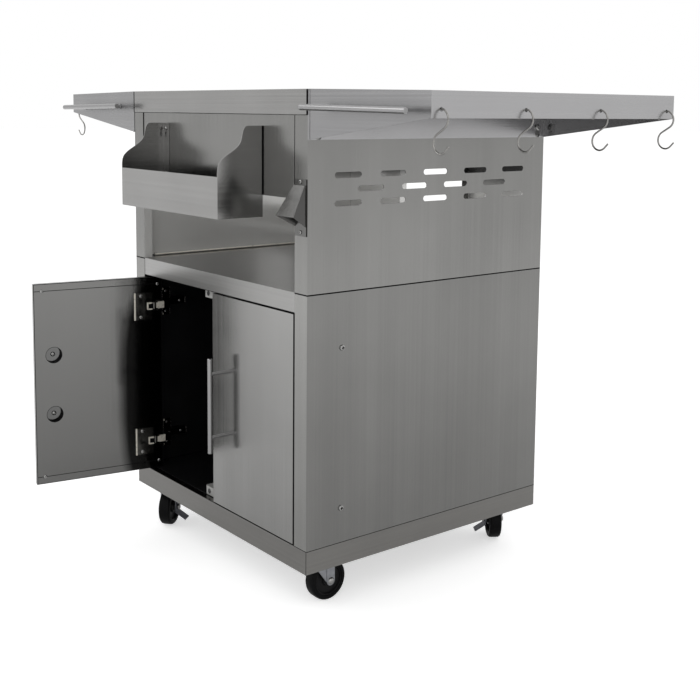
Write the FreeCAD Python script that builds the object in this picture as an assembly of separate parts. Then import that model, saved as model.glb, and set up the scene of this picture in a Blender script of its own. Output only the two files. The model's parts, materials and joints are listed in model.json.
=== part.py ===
import FreeCAD, Part
import math
import os

# Grill cart with storage, in millimetres, +Z up.
# Inside this file x runs across the cart from its middle to the right, y runs back from the
# front face of the cabinet and z runs up from the floor. save() then moves every piece forward
# or back, so that the origin lies on the floor in the middle of the cart with its door open.

# Cabinet
body_width = 604.0
body_depth = 570.0
ground_clearance = 80.0
skirt_height = 41.0
lower_height = 443.5
upper_height = 298.5
band_height = 42.0
steel = 1.5
trim_steel = 1.2
liner_steel = 1.0
seam = 0.4
touch_gap = 0.3
overrun = 1.0
tolerance = 0.01

# Folded edges of the cabinet
post_width = 36.0
post_return = 18.0
rear_flange = 20.0
edge_flange = 15.0
flange_front_margin = 35.0
flange_rear_margin = 40.0
skirt_hem = 12.0
liner_depth = 20.0
floor_front_gap = 2.0
deck_screw_end_inset = 5.0
apron_height = 35.0
apron_setback = 0.5
apron_flange = 32.0
panel_setback = 1.0
panel_height = 140.0
panel_return = 18.0
band_proud = 1.5
band_flange = 22.0
band_hem = 10.0
back_opening_width = 197.0
back_opening_height = 180.0
back_opening_low = 60.0
back_opening_return = 20.0

# Vent slots in both upper sides
slot_length = 58.0
slot_height = 10.0
slot_pitch = 100.0
slot_row_drop = 23.75
slot_first_y = 85.0
slot_top_row = 198.0
slots_in_long_row = 5

# Side shelves
shelf_length = 296.0
shelf_fall = 4.5
shelf_edge_height = 40.0
shelf_rail_height = 83.0
shelf_tab = 5.0
shelf_tab_proud = 0.8
shelf_bolt_inset = 20.3
shelf_bolt_drop = 64.3
keyhole_drop = 12.0
keyhole_head_room = 1.0

# S-hooks in the outer edge of each shelf
hooks_per_shelf = 4
hook_end_inset = 19.5
hook_hole_drop = 27.0
hook_hole_radius = 3.2
hook_wire_radius = 1.5
hook_loop_radius = 15.0
hook_loop_spacing = 35.0
hook_tip_length = 9.5

# Towel bars on the front of each shelf
towel_bar_length = 255.0
towel_bar_radius = 5.0
towel_bar_reach = 30.0
towel_bar_drop = 29.5
towel_post_radius = 4.0
towel_post_inset = 44.0
post_screw_length = 8.0
post_hole_depth = 10.0

# Condiment rack
rack_width = 350.0
rack_depth = 91.0
rack_centre = -6.0
rack_bottom = 120.5
rack_cheek_height = 158.0
rack_lip_height = 72.0
rack_flat_top = 28.0
rack_front_rise = 5.0
rack_curve = ((0.24, 0.30), (0.60, 0.57), (0.89, 0.73))
rack_flange = 22.0
rack_screw_inset = 11.0
rack_screw_drop = 11.0
rack_low_screw_rise = 60.0

# Bottle opener on the right post
opener_width = 32.0
opener_height = 95.0
opener_bottom = 97.5
opener_screw_inset_top = 4.5
opener_screw_inset_low = 6.7
hood_top_drop = 10.0
hood_height = 50.5
hood_mouth_drop = 18.5
hood_top_width = 31.0
hood_bottom_width = 51.0
hood_reach = 34.0
hood_top_depth = 3.0
hood_tooth_width = 18.0
hood_tooth_length = 9.0

# Doors
door_side_gap = 3.5
door_end_gap = 2.5
door_middle_gap = 3.0
door_thickness = 12.0
door_flange = 20.0
door_skin_inset = 0.8
door_open_angle = 100.0
door_border = 14.0
door_border_width = 1.2
door_border_depth = 0.4
door_screw_end_inset = 15.0
door_screw_free_inset = 16.0
door_screw_hinge_inset = 9.0
access_hole_radius = 16.5

# Door handles
handle_length = 180.0
handle_radius = 4.5
handle_reach = 30.0
handle_inset = 38.0
handle_post_spacing = 120.0
handle_post_radius = 3.5
handle_centre_drop = 2.0

# Concealed hinges
pin_inset = 16.0
pin_depth = 10.0
pin_radius = 2.0
running_gap = 0.05
hinge_end_inset = 60.0
eye_radius = 4.0
arm_half_height = 7.0
ear_thickness = 2.5
ear_radius = 3.5
ear_gap = 0.5
arm_thickness = 4.0
arm_corner_gap = 0.5
arm_block_back = 46.0
arm_tail_back = 98.0
arm_tail_depth = 8.0
hinge_plate_thickness = 2.1
hinge_plate_front = 36.0
hinge_plate_back = 84.0
hinge_plate_upright = 56.0
hinge_plate_height = 58.0
hinge_plate_bar = 17.0
hinge_bolt_y = 74.5
hinge_bolt_grip = 1.5
cup_flange_inset = 59.0
cup_flange_height = 56.0
cup_flange_thickness = 1.5
cup_flange_eye_gap = 1.0
cup_screw_spacing = 44.0
cup_screw_inset = 45.0
notch_half_height = 11.0
notch_depth = 25.0

# Magnetic catches
catch_width = 30.0
catch_height = 17.0
catch_depth = 20.0
catch_offset = 35.0
catch_corner = 5.0
magnet_radius = 4.5
magnet_proud = 1.0

# Castors
castor_side_inset = 52.0
castor_end_inset = 55.0
castor_height = 100.0
castor_trail = 26.0
wheel_radius = 37.5
wheel_width = 24.0
wheel_shoulder = 4.0
wheel_rim_depth = 9.0
wheel_web_width = 13.0
hub_radius = 12.0
hub_width = 25.6
axle_radius = 4.0
axle_head_radius = 6.5
axle_head_height = 4.0
fork_gap = 27.0
fork_steel = 2.5
fork_end_radius = 9.0
fork_back = 18.0
fork_front = 23.0
crown_radius = 23.0
crown_thickness = 3.0
kingpin_radius = 5.0
kingpin_length = 6.3
raceway_radius = 21.0
raceway_height = 7.5
castor_plate_x = 66.0
castor_plate_y = 60.0
castor_plate_thickness = 2.5
castor_bolt_x = 50.0
castor_bolt_y = 44.0
castor_bolt_end = 1.0
channel_width = 74.0
channel_flange = 10.0
channel_steel = 2.0
lever_thickness = 2.0
lever_width = 22.0
lever_arm = 10.0
lever_tab_reach = 20.0
lever_tab_drop = 14.0
trail_angles = {"front_right": 90.0, "front_left": -50.0, "rear_right": 145.0, "rear_left": 200.0}

# Fasteners: head radius, head height and shank radius
small_screw = (3.6, 2.2, 1.6)
pan_screw = (5.2, 3.0, 2.5)
shelf_bolt = (6.0, 4.0, 3.0)
castor_bolt = (5.0, 4.0, 3.0)
screw_clearance = 0.1
screw_head_rounding = 0.55

# Heights and places worked out from the sizes above
side = body_width / 2
tray_top = ground_clearance + skirt_height
deck_top = tray_top + lower_height
deck_bottom = deck_top - steel
band_bottom = deck_top + upper_height
cart_top = band_bottom + band_height
apron_bottom = deck_top - apron_height
opening_half = side - post_width
side_inner = side - steel
liner_face = side - liner_depth
back_inner = body_depth - steel
panel_bottom = band_bottom - panel_height
door_left_edge = door_middle_gap / 2
door_hinge_edge = opening_half - door_side_gap
door_width = door_hinge_edge - door_left_edge
door_bottom = tray_top + door_end_gap
door_top = apron_bottom - door_end_gap
pin_x = door_hinge_edge - pin_inset
hinge_heights = (door_bottom + hinge_end_inset, door_top - hinge_end_inset)
shelf_inner = side + touch_gap
shelf_outer = side + shelf_length
shelf_edge_top = cart_top - shelf_fall
hook_hole_z = shelf_edge_top - hook_hole_drop
arm_block_front = pin_depth + math.hypot(pin_inset, pin_depth) + arm_corner_gap
open_turn = math.radians(door_open_angle)
door_reach = ((door_width - pin_inset) * math.sin(open_turn)
              - (door_thickness - liner_steel - pin_depth) * math.cos(open_turn) - pin_depth)
origin_y = (body_depth + band_proud - door_reach) / 2

X_AXIS = FreeCAD.Vector(1, 0, 0)
Z_AXIS = FreeCAD.Vector(0, 0, 1)
ZERO = FreeCAD.Vector(0, 0, 0)


def point(x, y, z):
    return FreeCAD.Vector(x, y, z)


def block(x, y, z):
    """Box between the low and high values given for each axis."""
    return Part.makeBox(x[1] - x[0], y[1] - y[0], z[1] - z[0], point(x[0], y[0], z[0]))


def rod(start, end, radius):
    """Round bar between two points."""
    along = end.sub(start)
    return Part.makeCylinder(radius, along.Length, start, along)


def joined(shapes):
    """One solid from pieces that touch or overlap."""
    whole = shapes[0].fuse(shapes[1:])
    return whole.removeSplitter()


def prism(corners, thickness):
    """Flat outline pushed along a vector."""
    return Part.Face(Part.makePolygon(corners + corners[:1])).extrude(thickness)


def mirrored(shape):
    """The same piece on the other side of the cart."""
    return shape.mirror(ZERO, X_AXIS)


def save(node, shape):
    """Move a piece into the part's frame and write it."""
    placed = shape.copy()
    placed.translate(point(0, -origin_y, 0))
    placed.exportStep("parts/" + node + ".step")
    if not placed.isValid():
        print("not valid:", node)


def screw(seat, inward, kind, length):
    """Pan-head screw whose head stands on seat and whose shank runs inward."""
    head_radius, head_height, shank_radius = kind
    way = point(*inward)
    head = Part.makeCylinder(head_radius, head_height, seat, way.negative())
    far_rim = [edge for edge in head.Edges
               if abs(edge.CenterOfMass.sub(seat).Length - head_height) < tolerance]
    head = head.makeFillet(head_height * screw_head_rounding, far_rim[:1])
    shank = Part.makeCylinder(shank_radius, length, seat, way)
    return joined([head, shank])


def screw_hole(seat, inward, kind, length):
    """Hole for the shank of a screw of this kind."""
    way = point(*inward)
    start = seat.sub(way * overrun)
    return Part.makeCylinder(kind[2] + screw_clearance, length + 2 * overrun, start, way)


def keyhole(seat, inward, kind, length):
    """Hole that hangs on a screw: a narrow slot above a wide hole for the head."""
    way = point(*inward)
    through = length + 2 * overrun
    start = seat.sub(way * overrun)
    low = start.sub(point(0, 0, keyhole_drop))
    narrow = kind[2] + screw_clearance
    wide = Part.makeCylinder(kind[0] + keyhole_head_room, through, low, way)
    top = Part.makeCylinder(narrow, through, start, way)
    across = way.cross(Z_AXIS)
    corners = [start.add(across * narrow), low.add(across * narrow),
               low.sub(across * narrow), start.sub(across * narrow)]
    return joined([wide, top, prism(corners, way * through)])


def both_sides(places):
    """Each place on the right and its twin on the left."""
    twins = []
    for place in places:
        twins.append(place)
        twins.append(point(-place.x, place.y, place.z))
    return twins


# Lower cabinet

def base_tray():
    """Skirt with a closed top and a hem turned in round its bottom."""
    outer = block((-side, side), (0, body_depth), (ground_clearance, tray_top))
    cavity = block((-side_inner, side_inner), (steel, back_inner),
                   (ground_clearance + steel, tray_top - steel))
    mouth = block((skirt_hem - side, side - skirt_hem), (skirt_hem, body_depth - skirt_hem),
                  (ground_clearance, ground_clearance + steel))
    return outer.cut([cavity, mouth])


def cabinet_floor():
    """Black floor panel lying on the tray, notched round the front posts."""
    reach = liner_face - touch_gap
    panel = block((-reach, reach), (door_thickness + floor_front_gap, back_liner_front()),
                  (tray_top, tray_top + trim_steel))
    notch = block((opening_half - seam, side), (0, post_return + seam), (tray_top - overrun, deck_bottom))
    return panel.cut([notch, mirrored(notch)])


def back_liner_front():
    """Front face of the black lining of the back."""
    return back_inner - touch_gap - steel - touch_gap - liner_steel


def folded_side(low, high):
    """Right side panel with its front post and rear flange."""
    skin = block((side_inner, side), (0, body_depth), (low, high))
    post = block((opening_half, side), (0, steel), (low, high))
    post_back = block((opening_half, opening_half + steel), (0, post_return), (low, high))
    rear = block((side - rear_flange, side), (back_inner, body_depth), (low, high))
    bottom = block((side - edge_flange, side), (flange_front_margin, body_depth - flange_rear_margin),
                   (low, low + steel))
    return [skin, post, post_back, rear, bottom]


def hinge_bolt_places():
    return [point(side, hinge_bolt_y, height) for height in hinge_heights]


def lower_side():
    panel = joined(folded_side(tray_top + seam, deck_bottom - seam))
    holes = [screw_hole(place, (-1, 0, 0), pan_screw, steel) for place in hinge_bolt_places()]
    return panel.cut(holes)


def side_liner():
    """Black pan that lines one side of the cabinet."""
    front = post_return + 2 * seam
    back = back_liner_front() - touch_gap
    low = tray_top + seam + steel + touch_gap
    high = deck_bottom - 2 * seam
    reach = side_inner - touch_gap
    outer = block((liner_face, reach), (front, back), (low, high))
    hollow = block((liner_face + liner_steel, side), (front + liner_steel, back - liner_steel),
                   (low + liner_steel, high - liner_steel))
    spacers = []
    holes = []
    for place in hinge_bolt_places():
        start = point(liner_face + liner_steel, place.y, place.z)
        spacers.append(rod(start, point(reach, place.y, place.z), 2 * pan_screw[2]))
        holes.append(screw_hole(place, (-1, 0, 0), pan_screw, liner_depth))
    return joined([outer.cut(hollow)] + spacers).cut(holes)


def lower_back():
    reach = side_inner - touch_gap
    behind = back_inner - touch_gap
    return block((-reach, reach), (behind - steel, behind), (tray_top + seam, deck_bottom - seam))


def back_liner():
    reach = liner_face - touch_gap
    front = back_liner_front()
    return block((-reach, reach), (front, front + liner_steel),
                 (tray_top + trim_steel + touch_gap, deck_bottom - 2 * seam))


def deck():
    """Deck plate between the two halves, with its front apron turned down and in."""
    reach = side - apron_setback
    apron_reach = opening_half - seam
    front = apron_setback
    plate = block((-reach, reach), (front, body_depth - apron_setback), (deck_bottom, deck_top))
    apron = block((-apron_reach, apron_reach), (front, front + steel), (apron_bottom, deck_top))
    lower = block((-apron_reach, apron_reach), (front, apron_flange), (apron_bottom, apron_bottom + steel))
    holes = [screw_hole(place, (0, 0, -1), small_screw, 2 * steel) for place in deck_screw_places()]
    return joined([plate, apron, lower]).cut(holes)


# Upper cabinet

def deck_screw_places():
    """Heads on the bottom flange of the upper sides."""
    x = side - edge_flange / 2 - steel / 2
    z = deck_top + seam + steel
    ys = (flange_front_margin + deck_screw_end_inset, body_depth / 2,
          body_depth - flange_rear_margin - deck_screw_end_inset)
    return both_sides([point(x, y, z) for y in ys])


def shelf_bolt_places():
    """Heads of the right shelf's bolts, on the inner face of its rail."""
    x = shelf_inner + trim_steel
    z = cart_top - shelf_bolt_drop
    return [point(x, y, z) for y in (shelf_bolt_inset, body_depth - shelf_bolt_inset)]


def vent_slots():
    """Three staggered rows of round-ended slots through the right upper side."""
    cuts = []
    for row in range(3):
        shift = slot_pitch / 2 * (row % 2)
        z = deck_top + slot_top_row - row * slot_row_drop
        for index in range(slots_in_long_row - row % 2):
            y = slot_first_y + shift + index * slot_pitch
            half = slot_length / 2 - slot_height / 2
            through = (side_inner - overrun, side + overrun)
            cuts.append(block(through, (y - half, y + half), (z - slot_height / 2, z + slot_height / 2)))
            for end in (y - half, y + half):
                cuts.append(rod(point(through[0], end, z), point(through[1], end, z), slot_height / 2))
    return cuts


def upper_side():
    low = deck_top + seam
    high = band_bottom - seam
    top = block((side - edge_flange, side), (flange_front_margin, body_depth - flange_rear_margin),
                (high - steel, high))
    panel = joined(folded_side(low, high) + [top])
    holes = [screw_hole(place, (0, 0, -1), small_screw, steel) for place in deck_screw_places()]
    holes += [screw_hole(place, (-1, 0, 0), shelf_bolt, steel + trim_steel + touch_gap)
              for place in shelf_bolt_places()]
    holes += [screw_hole(place, (0, 1, 0), small_screw, 2 * steel) for place in opener_screw_places()]
    return panel.cut(vent_slots() + holes)


def front_panel():
    """Pan between the posts that closes the front of the grill bay and carries the rack."""
    reach = opening_half - seam
    front = panel_setback
    high = band_bottom - seam
    outer = block((-reach, reach), (front, front + panel_return), (panel_bottom, high))
    hollow = block((steel - reach, reach - steel), (front + steel, front + panel_return + overrun),
                   (panel_bottom + steel, high - steel))
    seats = [place for place in rack_screw_places() if place.z > panel_bottom]
    holes = [screw_hole(place, (0, 1, 0), small_screw, 2 * steel) for place in seats]
    return outer.cut([hollow] + holes)


def upper_back():
    """Back of the upper cabinet with a flanged opening in its middle."""
    reach = side_inner - touch_gap
    behind = back_inner - touch_gap
    low = deck_top + back_opening_low
    high = low + back_opening_height
    half = back_opening_width / 2
    plate = block((-reach, reach), (behind - steel, behind), (deck_top + seam + steel + seam,
                                                             band_bottom - 2 * steel))
    collar = block((-half - steel, half + steel), (behind - back_opening_return, behind),
                   (low - steel, high + steel))
    opening = block((-half, half), (behind - back_opening_return - overrun, behind + overrun), (low, high))
    return joined([plate, collar]).cut(opening)


def top_frame():
    """Band round the top: outer wall, flange under the grill's rim and a hem at its inner edge."""
    front = -band_proud
    back = body_depth + band_proud
    outer = block((-side, side), (front, back), (band_bottom, cart_top))
    cavity = block((-side_inner, side_inner), (front + steel, back - steel),
                   (band_bottom + steel, cart_top - steel))
    foot = block((skirt_hem - side, side - skirt_hem), (front + skirt_hem, back - skirt_hem),
                 (band_bottom, band_bottom + steel))
    half = side - band_flange
    rim = (front + band_flange, back - band_flange)
    mouth = block((-half, half), rim, (cart_top - steel, cart_top))
    hem_outer = block((-half - steel, half + steel), (rim[0] - steel, rim[1] + steel),
                      (cart_top - band_hem, cart_top - steel))
    hem_inner = block((-half, half), rim, (cart_top - band_hem, cart_top - steel))
    return joined([outer.cut([cavity, foot, mouth]), hem_outer.cut(hem_inner)])


# Side shelves and what hangs on them

def hook_ys():
    pitch = (body_depth - 2 * hook_end_inset) / (hooks_per_shelf - 1)
    return [hook_end_inset + index * pitch for index in range(hooks_per_shelf)]


def shelf_top(x):
    """Height of the shelf's upper face, which falls a little towards its outer edge."""
    return cart_top - shelf_fall * (x - shelf_inner) / (shelf_outer - shelf_inner)


def shelf_slice(front, inner_depth, outer_depth, thickness):
    """Solid under the shelf's upper face, as deep at each edge as asked."""
    corners = [point(shelf_inner, front, cart_top), point(shelf_outer, front, shelf_edge_top),
               point(shelf_outer, front, shelf_edge_top - outer_depth),
               point(shelf_inner, front, cart_top - inner_depth)]
    return prism(corners, point(0, thickness, 0))


def wing(front):
    """Tapered end of the right shelf."""
    return shelf_slice(front, shelf_rail_height, shelf_edge_height, trim_steel)


def shelf():
    """Right shelf folded from one sheet: top, outer edge, two wings and the rail on the cabinet."""
    low = cart_top - shelf_rail_height
    plate = shelf_slice(0, trim_steel, trim_steel, body_depth)
    edge = block((shelf_outer - trim_steel, shelf_outer), (0, body_depth),
                 (shelf_edge_top - shelf_edge_height, shelf_edge_top))
    rail = block((shelf_inner, shelf_inner + trim_steel), (0, body_depth),
                 (low, shelf_top(shelf_inner + trim_steel)))
    tab = block((shelf_inner, shelf_inner + shelf_tab), (-shelf_tab_proud, trim_steel),
                (low, shelf_top(shelf_inner + shelf_tab)))
    body = joined([plate, edge, rail, tab, wing(0), wing(body_depth - trim_steel)])
    cuts = [keyhole(place, (-1, 0, 0), shelf_bolt, trim_steel) for place in shelf_bolt_places()]
    cuts += [rod(point(shelf_outer - trim_steel - overrun, y, hook_hole_z),
                 point(shelf_outer + overrun, y, hook_hole_z), hook_hole_radius) for y in hook_ys()]
    cuts += [screw_hole(place, (0, -1, 0), small_screw, trim_steel) for place in towel_screw_places()]
    return body.cut(cuts)


def towel_bar_point(from_middle, y):
    """Point on the towel bar's height, at a distance from the middle of the shelf."""
    x = side + shelf_length / 2 + from_middle
    return point(x, y, shelf_top(x) - towel_bar_drop)


def towel_post_offsets():
    reach = towel_bar_length / 2 - towel_post_inset
    return (-reach, reach)


def towel_screw_places():
    """Heads inside the front wing of the right shelf."""
    return [towel_bar_point(offset, trim_steel) for offset in towel_post_offsets()]


def towel_bar():
    half = towel_bar_length / 2
    bar = rod(towel_bar_point(-half, -towel_bar_reach), towel_bar_point(half, -towel_bar_reach),
              towel_bar_radius)
    posts = [rod(towel_bar_point(offset, 0), towel_bar_point(offset, -towel_bar_reach), towel_post_radius)
             for offset in towel_post_offsets()]
    holes = [screw_hole(place, (0, -1, 0), small_screw, post_hole_depth) for place in towel_screw_places()]
    return joined([bar] + posts).cut(holes)


def hook_point(angle, centre_z):
    """Point of a hook's loop, seen from the front, with the hole in the shelf at zero."""
    turn = math.radians(angle)
    return point(hook_loop_radius * math.cos(turn), 0, centre_z + hook_loop_radius * math.sin(turn))


def s_hook():
    """S-hook in the XZ plane, hanging through a hole at the origin."""
    upper = hook_wire_radius / 2 - hook_loop_radius
    lower = upper - hook_loop_spacing
    lean = math.degrees(math.asin(2 * hook_loop_radius / hook_loop_spacing))
    crossing_top = hook_point(-lean, upper)
    crossing_low = hook_point(180 - lean, lower)
    tip_start = hook_point(-45, lower)
    tip_end = tip_start.add(point(1, 0, 1).normalize() * hook_tip_length)
    edges = [Part.Arc(hook_point(180, upper), hook_point(90, upper), crossing_top).toShape(),
             Part.LineSegment(crossing_top, crossing_low).toShape(),
             Part.Arc(crossing_low, hook_point(-120, lower), tip_start).toShape(),
             Part.LineSegment(tip_start, tip_end).toShape()]
    path = Part.Wire(edges)
    ring = Part.makeCircle(hook_wire_radius, hook_point(180, upper), Z_AXIS)
    return path.makePipeShell([Part.Wire(ring)], True, True)


def placed_hook(y):
    hook = s_hook()
    hook.translate(point(shelf_outer - trim_steel / 2, y, hook_hole_z))
    return hook


# Rack and bottle opener

def rack_base_z():
    return deck_top + rack_bottom


def rack_screw_places():
    """Heads on the rack's rear flanges."""
    low = rack_base_z() + rack_low_screw_rise
    high = rack_base_z() + rack_cheek_height - rack_screw_drop
    reach = rack_width / 2 - rack_screw_inset
    front = panel_setback - touch_gap - trim_steel
    return [point(rack_centre + x, front, z) for x in (-reach, reach) for z in (low, high)]


def rack_cheek(x):
    """End wall of the rack, whose top edge runs down to the front in an S."""
    back = panel_setback - touch_gap
    low = rack_base_z()
    high = low + rack_cheek_height
    nose = low + rack_lip_height + rack_front_rise
    start = point(x, -rack_flat_top, high)
    end = point(x, -rack_depth, nose)
    fall = end.sub(start)
    middle = [point(x, start.y + share[0] * fall.y, start.z + share[1] * fall.z) for share in rack_curve]
    curve = Part.BSplineCurve()
    curve.interpolate([start] + middle + [end], InitialTangent=point(0, -1, 0), FinalTangent=point(0, 0, -1))
    corners = [end, point(x, -rack_depth, low), point(x, back, low), point(x, back, high), start]
    edges = [curve.toShape()]
    edges += [Part.LineSegment(a, b).toShape() for a, b in zip(corners, corners[1:])]
    return Part.Face(Part.Wire(edges)).extrude(point(trim_steel, 0, 0))


def rack():
    half = rack_width / 2
    left = rack_centre - half
    right = rack_centre + half
    back = panel_setback - touch_gap
    low = rack_base_z()
    bottom = block((left, right), (-rack_depth, back), (low, low + trim_steel))
    lip = block((left, right), (-rack_depth, trim_steel - rack_depth), (low, low + rack_lip_height))
    pieces = [rack_cheek(left), rack_cheek(right - trim_steel), bottom, lip]
    for inner in (left, right - rack_flange):
        pieces.append(block((inner, inner + rack_flange), (back - trim_steel, back),
                            (low, low + rack_cheek_height)))
    cuts = [keyhole(place, (0, 1, 0), small_screw, trim_steel) for place in rack_screw_places()]
    return joined(pieces).cut(cuts)


def opener_x():
    return side - post_width / 2


def opener_screw_places():
    low = deck_top + opener_bottom + opener_screw_inset_low
    high = deck_top + opener_bottom + opener_height - opener_screw_inset_top
    return [point(opener_x(), -steel, z) for z in (low, high)]


def hood_rim(front_half, front, front_z, back_half, back_z):
    """Outline of the hood, level or tilted, whose back stands on the opener's plate."""
    x = opener_x()
    corners = [point(x - front_half, front, front_z), point(x + front_half, front, front_z),
               point(x + back_half, -steel, back_z), point(x - back_half, -steel, back_z)]
    return Part.makePolygon(corners + corners[:1])


def hood_solid(low_z, wall, extra):
    """Outer shape of the hood, or with a wall thickness, the hollow in it, run out at its mouth."""
    high_z = low_z + hood_height - 2 * wall
    top_half = hood_top_width / 2 - wall
    slope = hood_mouth_drop / (hood_reach - steel)
    low = hood_rim(hood_bottom_width / 2 - wall, wall - hood_reach, low_z - slope * wall - extra,
                   opener_width / 2 - wall, low_z - hood_mouth_drop - extra)
    high = hood_rim(top_half, -steel - hood_top_depth, high_z, top_half, high_z)
    return Part.makeLoft([low, high], True, True)


def bottle_opener():
    """Wall opener: back plate, flared hood open at the bottom and the tooth that grips a cap."""
    x = opener_x()
    base = deck_top + opener_bottom
    plate = block((x - opener_width / 2, x + opener_width / 2), (-steel, 0), (base, base + opener_height))
    low_z = base + opener_height - hood_top_drop - hood_height
    hood = hood_solid(low_z, 0, 0).cut(hood_solid(low_z, steel, overrun))
    tooth_front = steel - hood_reach
    tooth = block((x - hood_tooth_width / 2, x + hood_tooth_width / 2),
                  (tooth_front, tooth_front + hood_tooth_length), (low_z, low_z + steel))
    holes = [screw_hole(place, (0, 1, 0), small_screw, steel) for place in opener_screw_places()]
    return joined([plate, hood, tooth]).cut(holes)


# Doors, built for the right side, closed

def handle_zs():
    middle = (door_bottom + door_top) / 2 - handle_centre_drop
    return (middle - handle_post_spacing / 2, middle + handle_post_spacing / 2)


def handle_x():
    return door_left_edge + handle_inset


def hinge_notch(height):
    """Room in the door's back and edge for one hinge."""
    return block((door_hinge_edge - notch_depth, door_hinge_edge + overrun),
                 (trim_steel, door_thickness + overrun),
                 (height - notch_half_height, height + notch_half_height))


def handle_screw_places():
    """Heads inside the door, on the back of its front sheet."""
    return [point(handle_x(), trim_steel, z) for z in handle_zs()]


def corner_screw_places():
    """Heads on the inner skin."""
    xs = (door_left_edge + door_screw_free_inset, door_hinge_edge - door_screw_hinge_inset)
    zs = (door_bottom + door_screw_end_inset, door_top - door_screw_end_inset)
    return [point(x, door_thickness, z) for x in xs for z in zs]


def door_skin():
    """Outer pan of the door with flanges round its back."""
    seat = door_thickness - liner_steel
    wall = trim_steel
    outer = block((door_left_edge, door_hinge_edge), (0, seat), (door_bottom, door_top))
    hollow = block((door_left_edge + wall, door_hinge_edge - wall), (wall, seat - wall),
                   (door_bottom + wall, door_top - wall))
    mouth = block((door_left_edge + door_flange, door_hinge_edge - door_flange), (seat - wall, seat),
                  (door_bottom + door_flange, door_top - door_flange))
    cuts = [hollow, mouth] + [hinge_notch(height) for height in hinge_heights]
    cuts += [screw_hole(place, (0, -1, 0), small_screw, wall) for place in handle_screw_places()]
    cuts += [screw_hole(place, (0, -1, 0), small_screw, liner_steel + wall)
             for place in corner_screw_places()]
    return outer.cut(cuts)


def door_inner():
    """Inner skin with a pressed border line and two access holes to the handle's screws."""
    low = door_bottom + door_skin_inset
    high = door_top - door_skin_inset
    left = door_left_edge + door_skin_inset
    right = door_hinge_edge - door_skin_inset
    back = door_thickness
    sheet = block((left, right), (back - liner_steel, back), (low, high))
    cuts = [hinge_notch(height) for height in hinge_heights]
    for z in (door_bottom + door_border, door_top - door_border - door_border_width):
        cuts.append(block((left, right), (back - door_border_depth, back + overrun),
                          (z, z + door_border_width)))
    for z in handle_zs():
        cuts.append(rod(point(handle_x(), 0, z), point(handle_x(), back + overrun, z), access_hole_radius))
    cuts += [screw_hole(place, (0, -1, 0), small_screw, liner_steel) for place in corner_screw_places()]
    return sheet.cut(cuts)


def handle():
    low, high = handle_zs()
    middle = (low + high) / 2
    x = handle_x()
    bar = rod(point(x, -handle_reach, middle - handle_length / 2),
              point(x, -handle_reach, middle + handle_length / 2), handle_radius)
    posts = [rod(point(x, 0, z), point(x, -handle_reach, z), handle_post_radius) for z in (low, high)]
    holes = [screw_hole(place, (0, -1, 0), small_screw, post_hole_depth)
             for place in handle_screw_places()]
    return joined([bar] + posts).cut(holes)


def cup_screw_places(height):
    """Heads on a hinge cup's flange."""
    return [point(door_hinge_edge - cup_screw_inset, door_thickness + cup_flange_thickness, height + rise)
            for rise in (-cup_screw_spacing / 2, cup_screw_spacing / 2)]


def door_screws():
    screws = [screw(place, (0, -1, 0), small_screw, post_screw_length) for place in handle_screw_places()]
    screws += [screw(place, (0, -1, 0), small_screw, liner_steel + trim_steel)
               for place in corner_screw_places()]
    for height in hinge_heights:
        screws += [screw(place, (0, -1, 0), small_screw, cup_flange_thickness - touch_gap)
                   for place in cup_screw_places(height)]
    return Part.makeCompound(screws)


def hinge_cup(height):
    """Door half of a hinge: flange on the inner skin, two ears and the pin between them."""
    back = door_thickness + cup_flange_thickness
    flange = block((door_hinge_edge - cup_flange_inset, pin_x - eye_radius - cup_flange_eye_gap),
                   (door_thickness, back),
                   (height - cup_flange_height / 2, height + cup_flange_height / 2))
    outer = arm_half_height + touch_gap + ear_thickness
    ear_end = door_hinge_edge - notch_depth + ear_gap
    ears = []
    for low in (height - outer, height + outer - ear_thickness):
        high = low + ear_thickness
        ears.append(block((ear_end, pin_x), (pin_depth - ear_radius, back), (low, high)))
        ears.append(rod(point(pin_x, pin_depth, low), point(pin_x, pin_depth, high), ear_radius))
    pin = rod(point(pin_x, pin_depth, height - outer), point(pin_x, pin_depth, height + outer), pin_radius)
    holes = [screw_hole(place, (0, -1, 0), small_screw, cup_flange_thickness)
             for place in cup_screw_places(height)]
    return joined([flange, pin] + ears).cut(holes)


def hinge_cups():
    return Part.makeCompound([hinge_cup(height) for height in hinge_heights])


def hinge_arm(height):
    """Cabinet half of a hinge: eye round the pin, bent arm and cross-shaped plate on the liner."""
    low = height - arm_half_height
    high = height + arm_half_height
    plate_x = liner_face - hinge_plate_thickness
    arm_x = plate_x - touch_gap
    eye = rod(point(pin_x, pin_depth, low), point(pin_x, pin_depth, high), eye_radius)
    nose = block((pin_x - arm_thickness / 2, pin_x + arm_thickness / 2), (pin_depth, arm_block_back),
                 (low, high))
    bridge = block((pin_x - arm_thickness / 2, arm_x), (arm_block_front, arm_block_back), (low, high))
    tail = block((arm_x - arm_tail_depth, arm_x), (arm_block_front, arm_tail_back), (low, high))
    bore = rod(point(pin_x, pin_depth, low - overrun), point(pin_x, pin_depth, high + overrun),
               pin_radius + running_gap)
    arm = joined([eye, nose, bridge, tail]).cut(bore)
    half_bar = hinge_plate_bar / 2
    along = block((plate_x, liner_face), (hinge_plate_front, hinge_plate_back),
                  (height - half_bar, height + half_bar))
    upright = block((plate_x, liner_face), (hinge_plate_upright - half_bar, hinge_plate_upright + half_bar),
                    (height - hinge_plate_height / 2, height + hinge_plate_height / 2))
    bolt_hole = screw_hole(point(liner_face, hinge_bolt_y, height), (-1, 0, 0), pan_screw, hinge_bolt_grip)
    return [arm, joined([along, upright]).cut(bolt_hole)]


def hinge_arms():
    return Part.makeCompound(hinge_arm(hinge_heights[0]) + hinge_arm(hinge_heights[1]))


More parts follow.
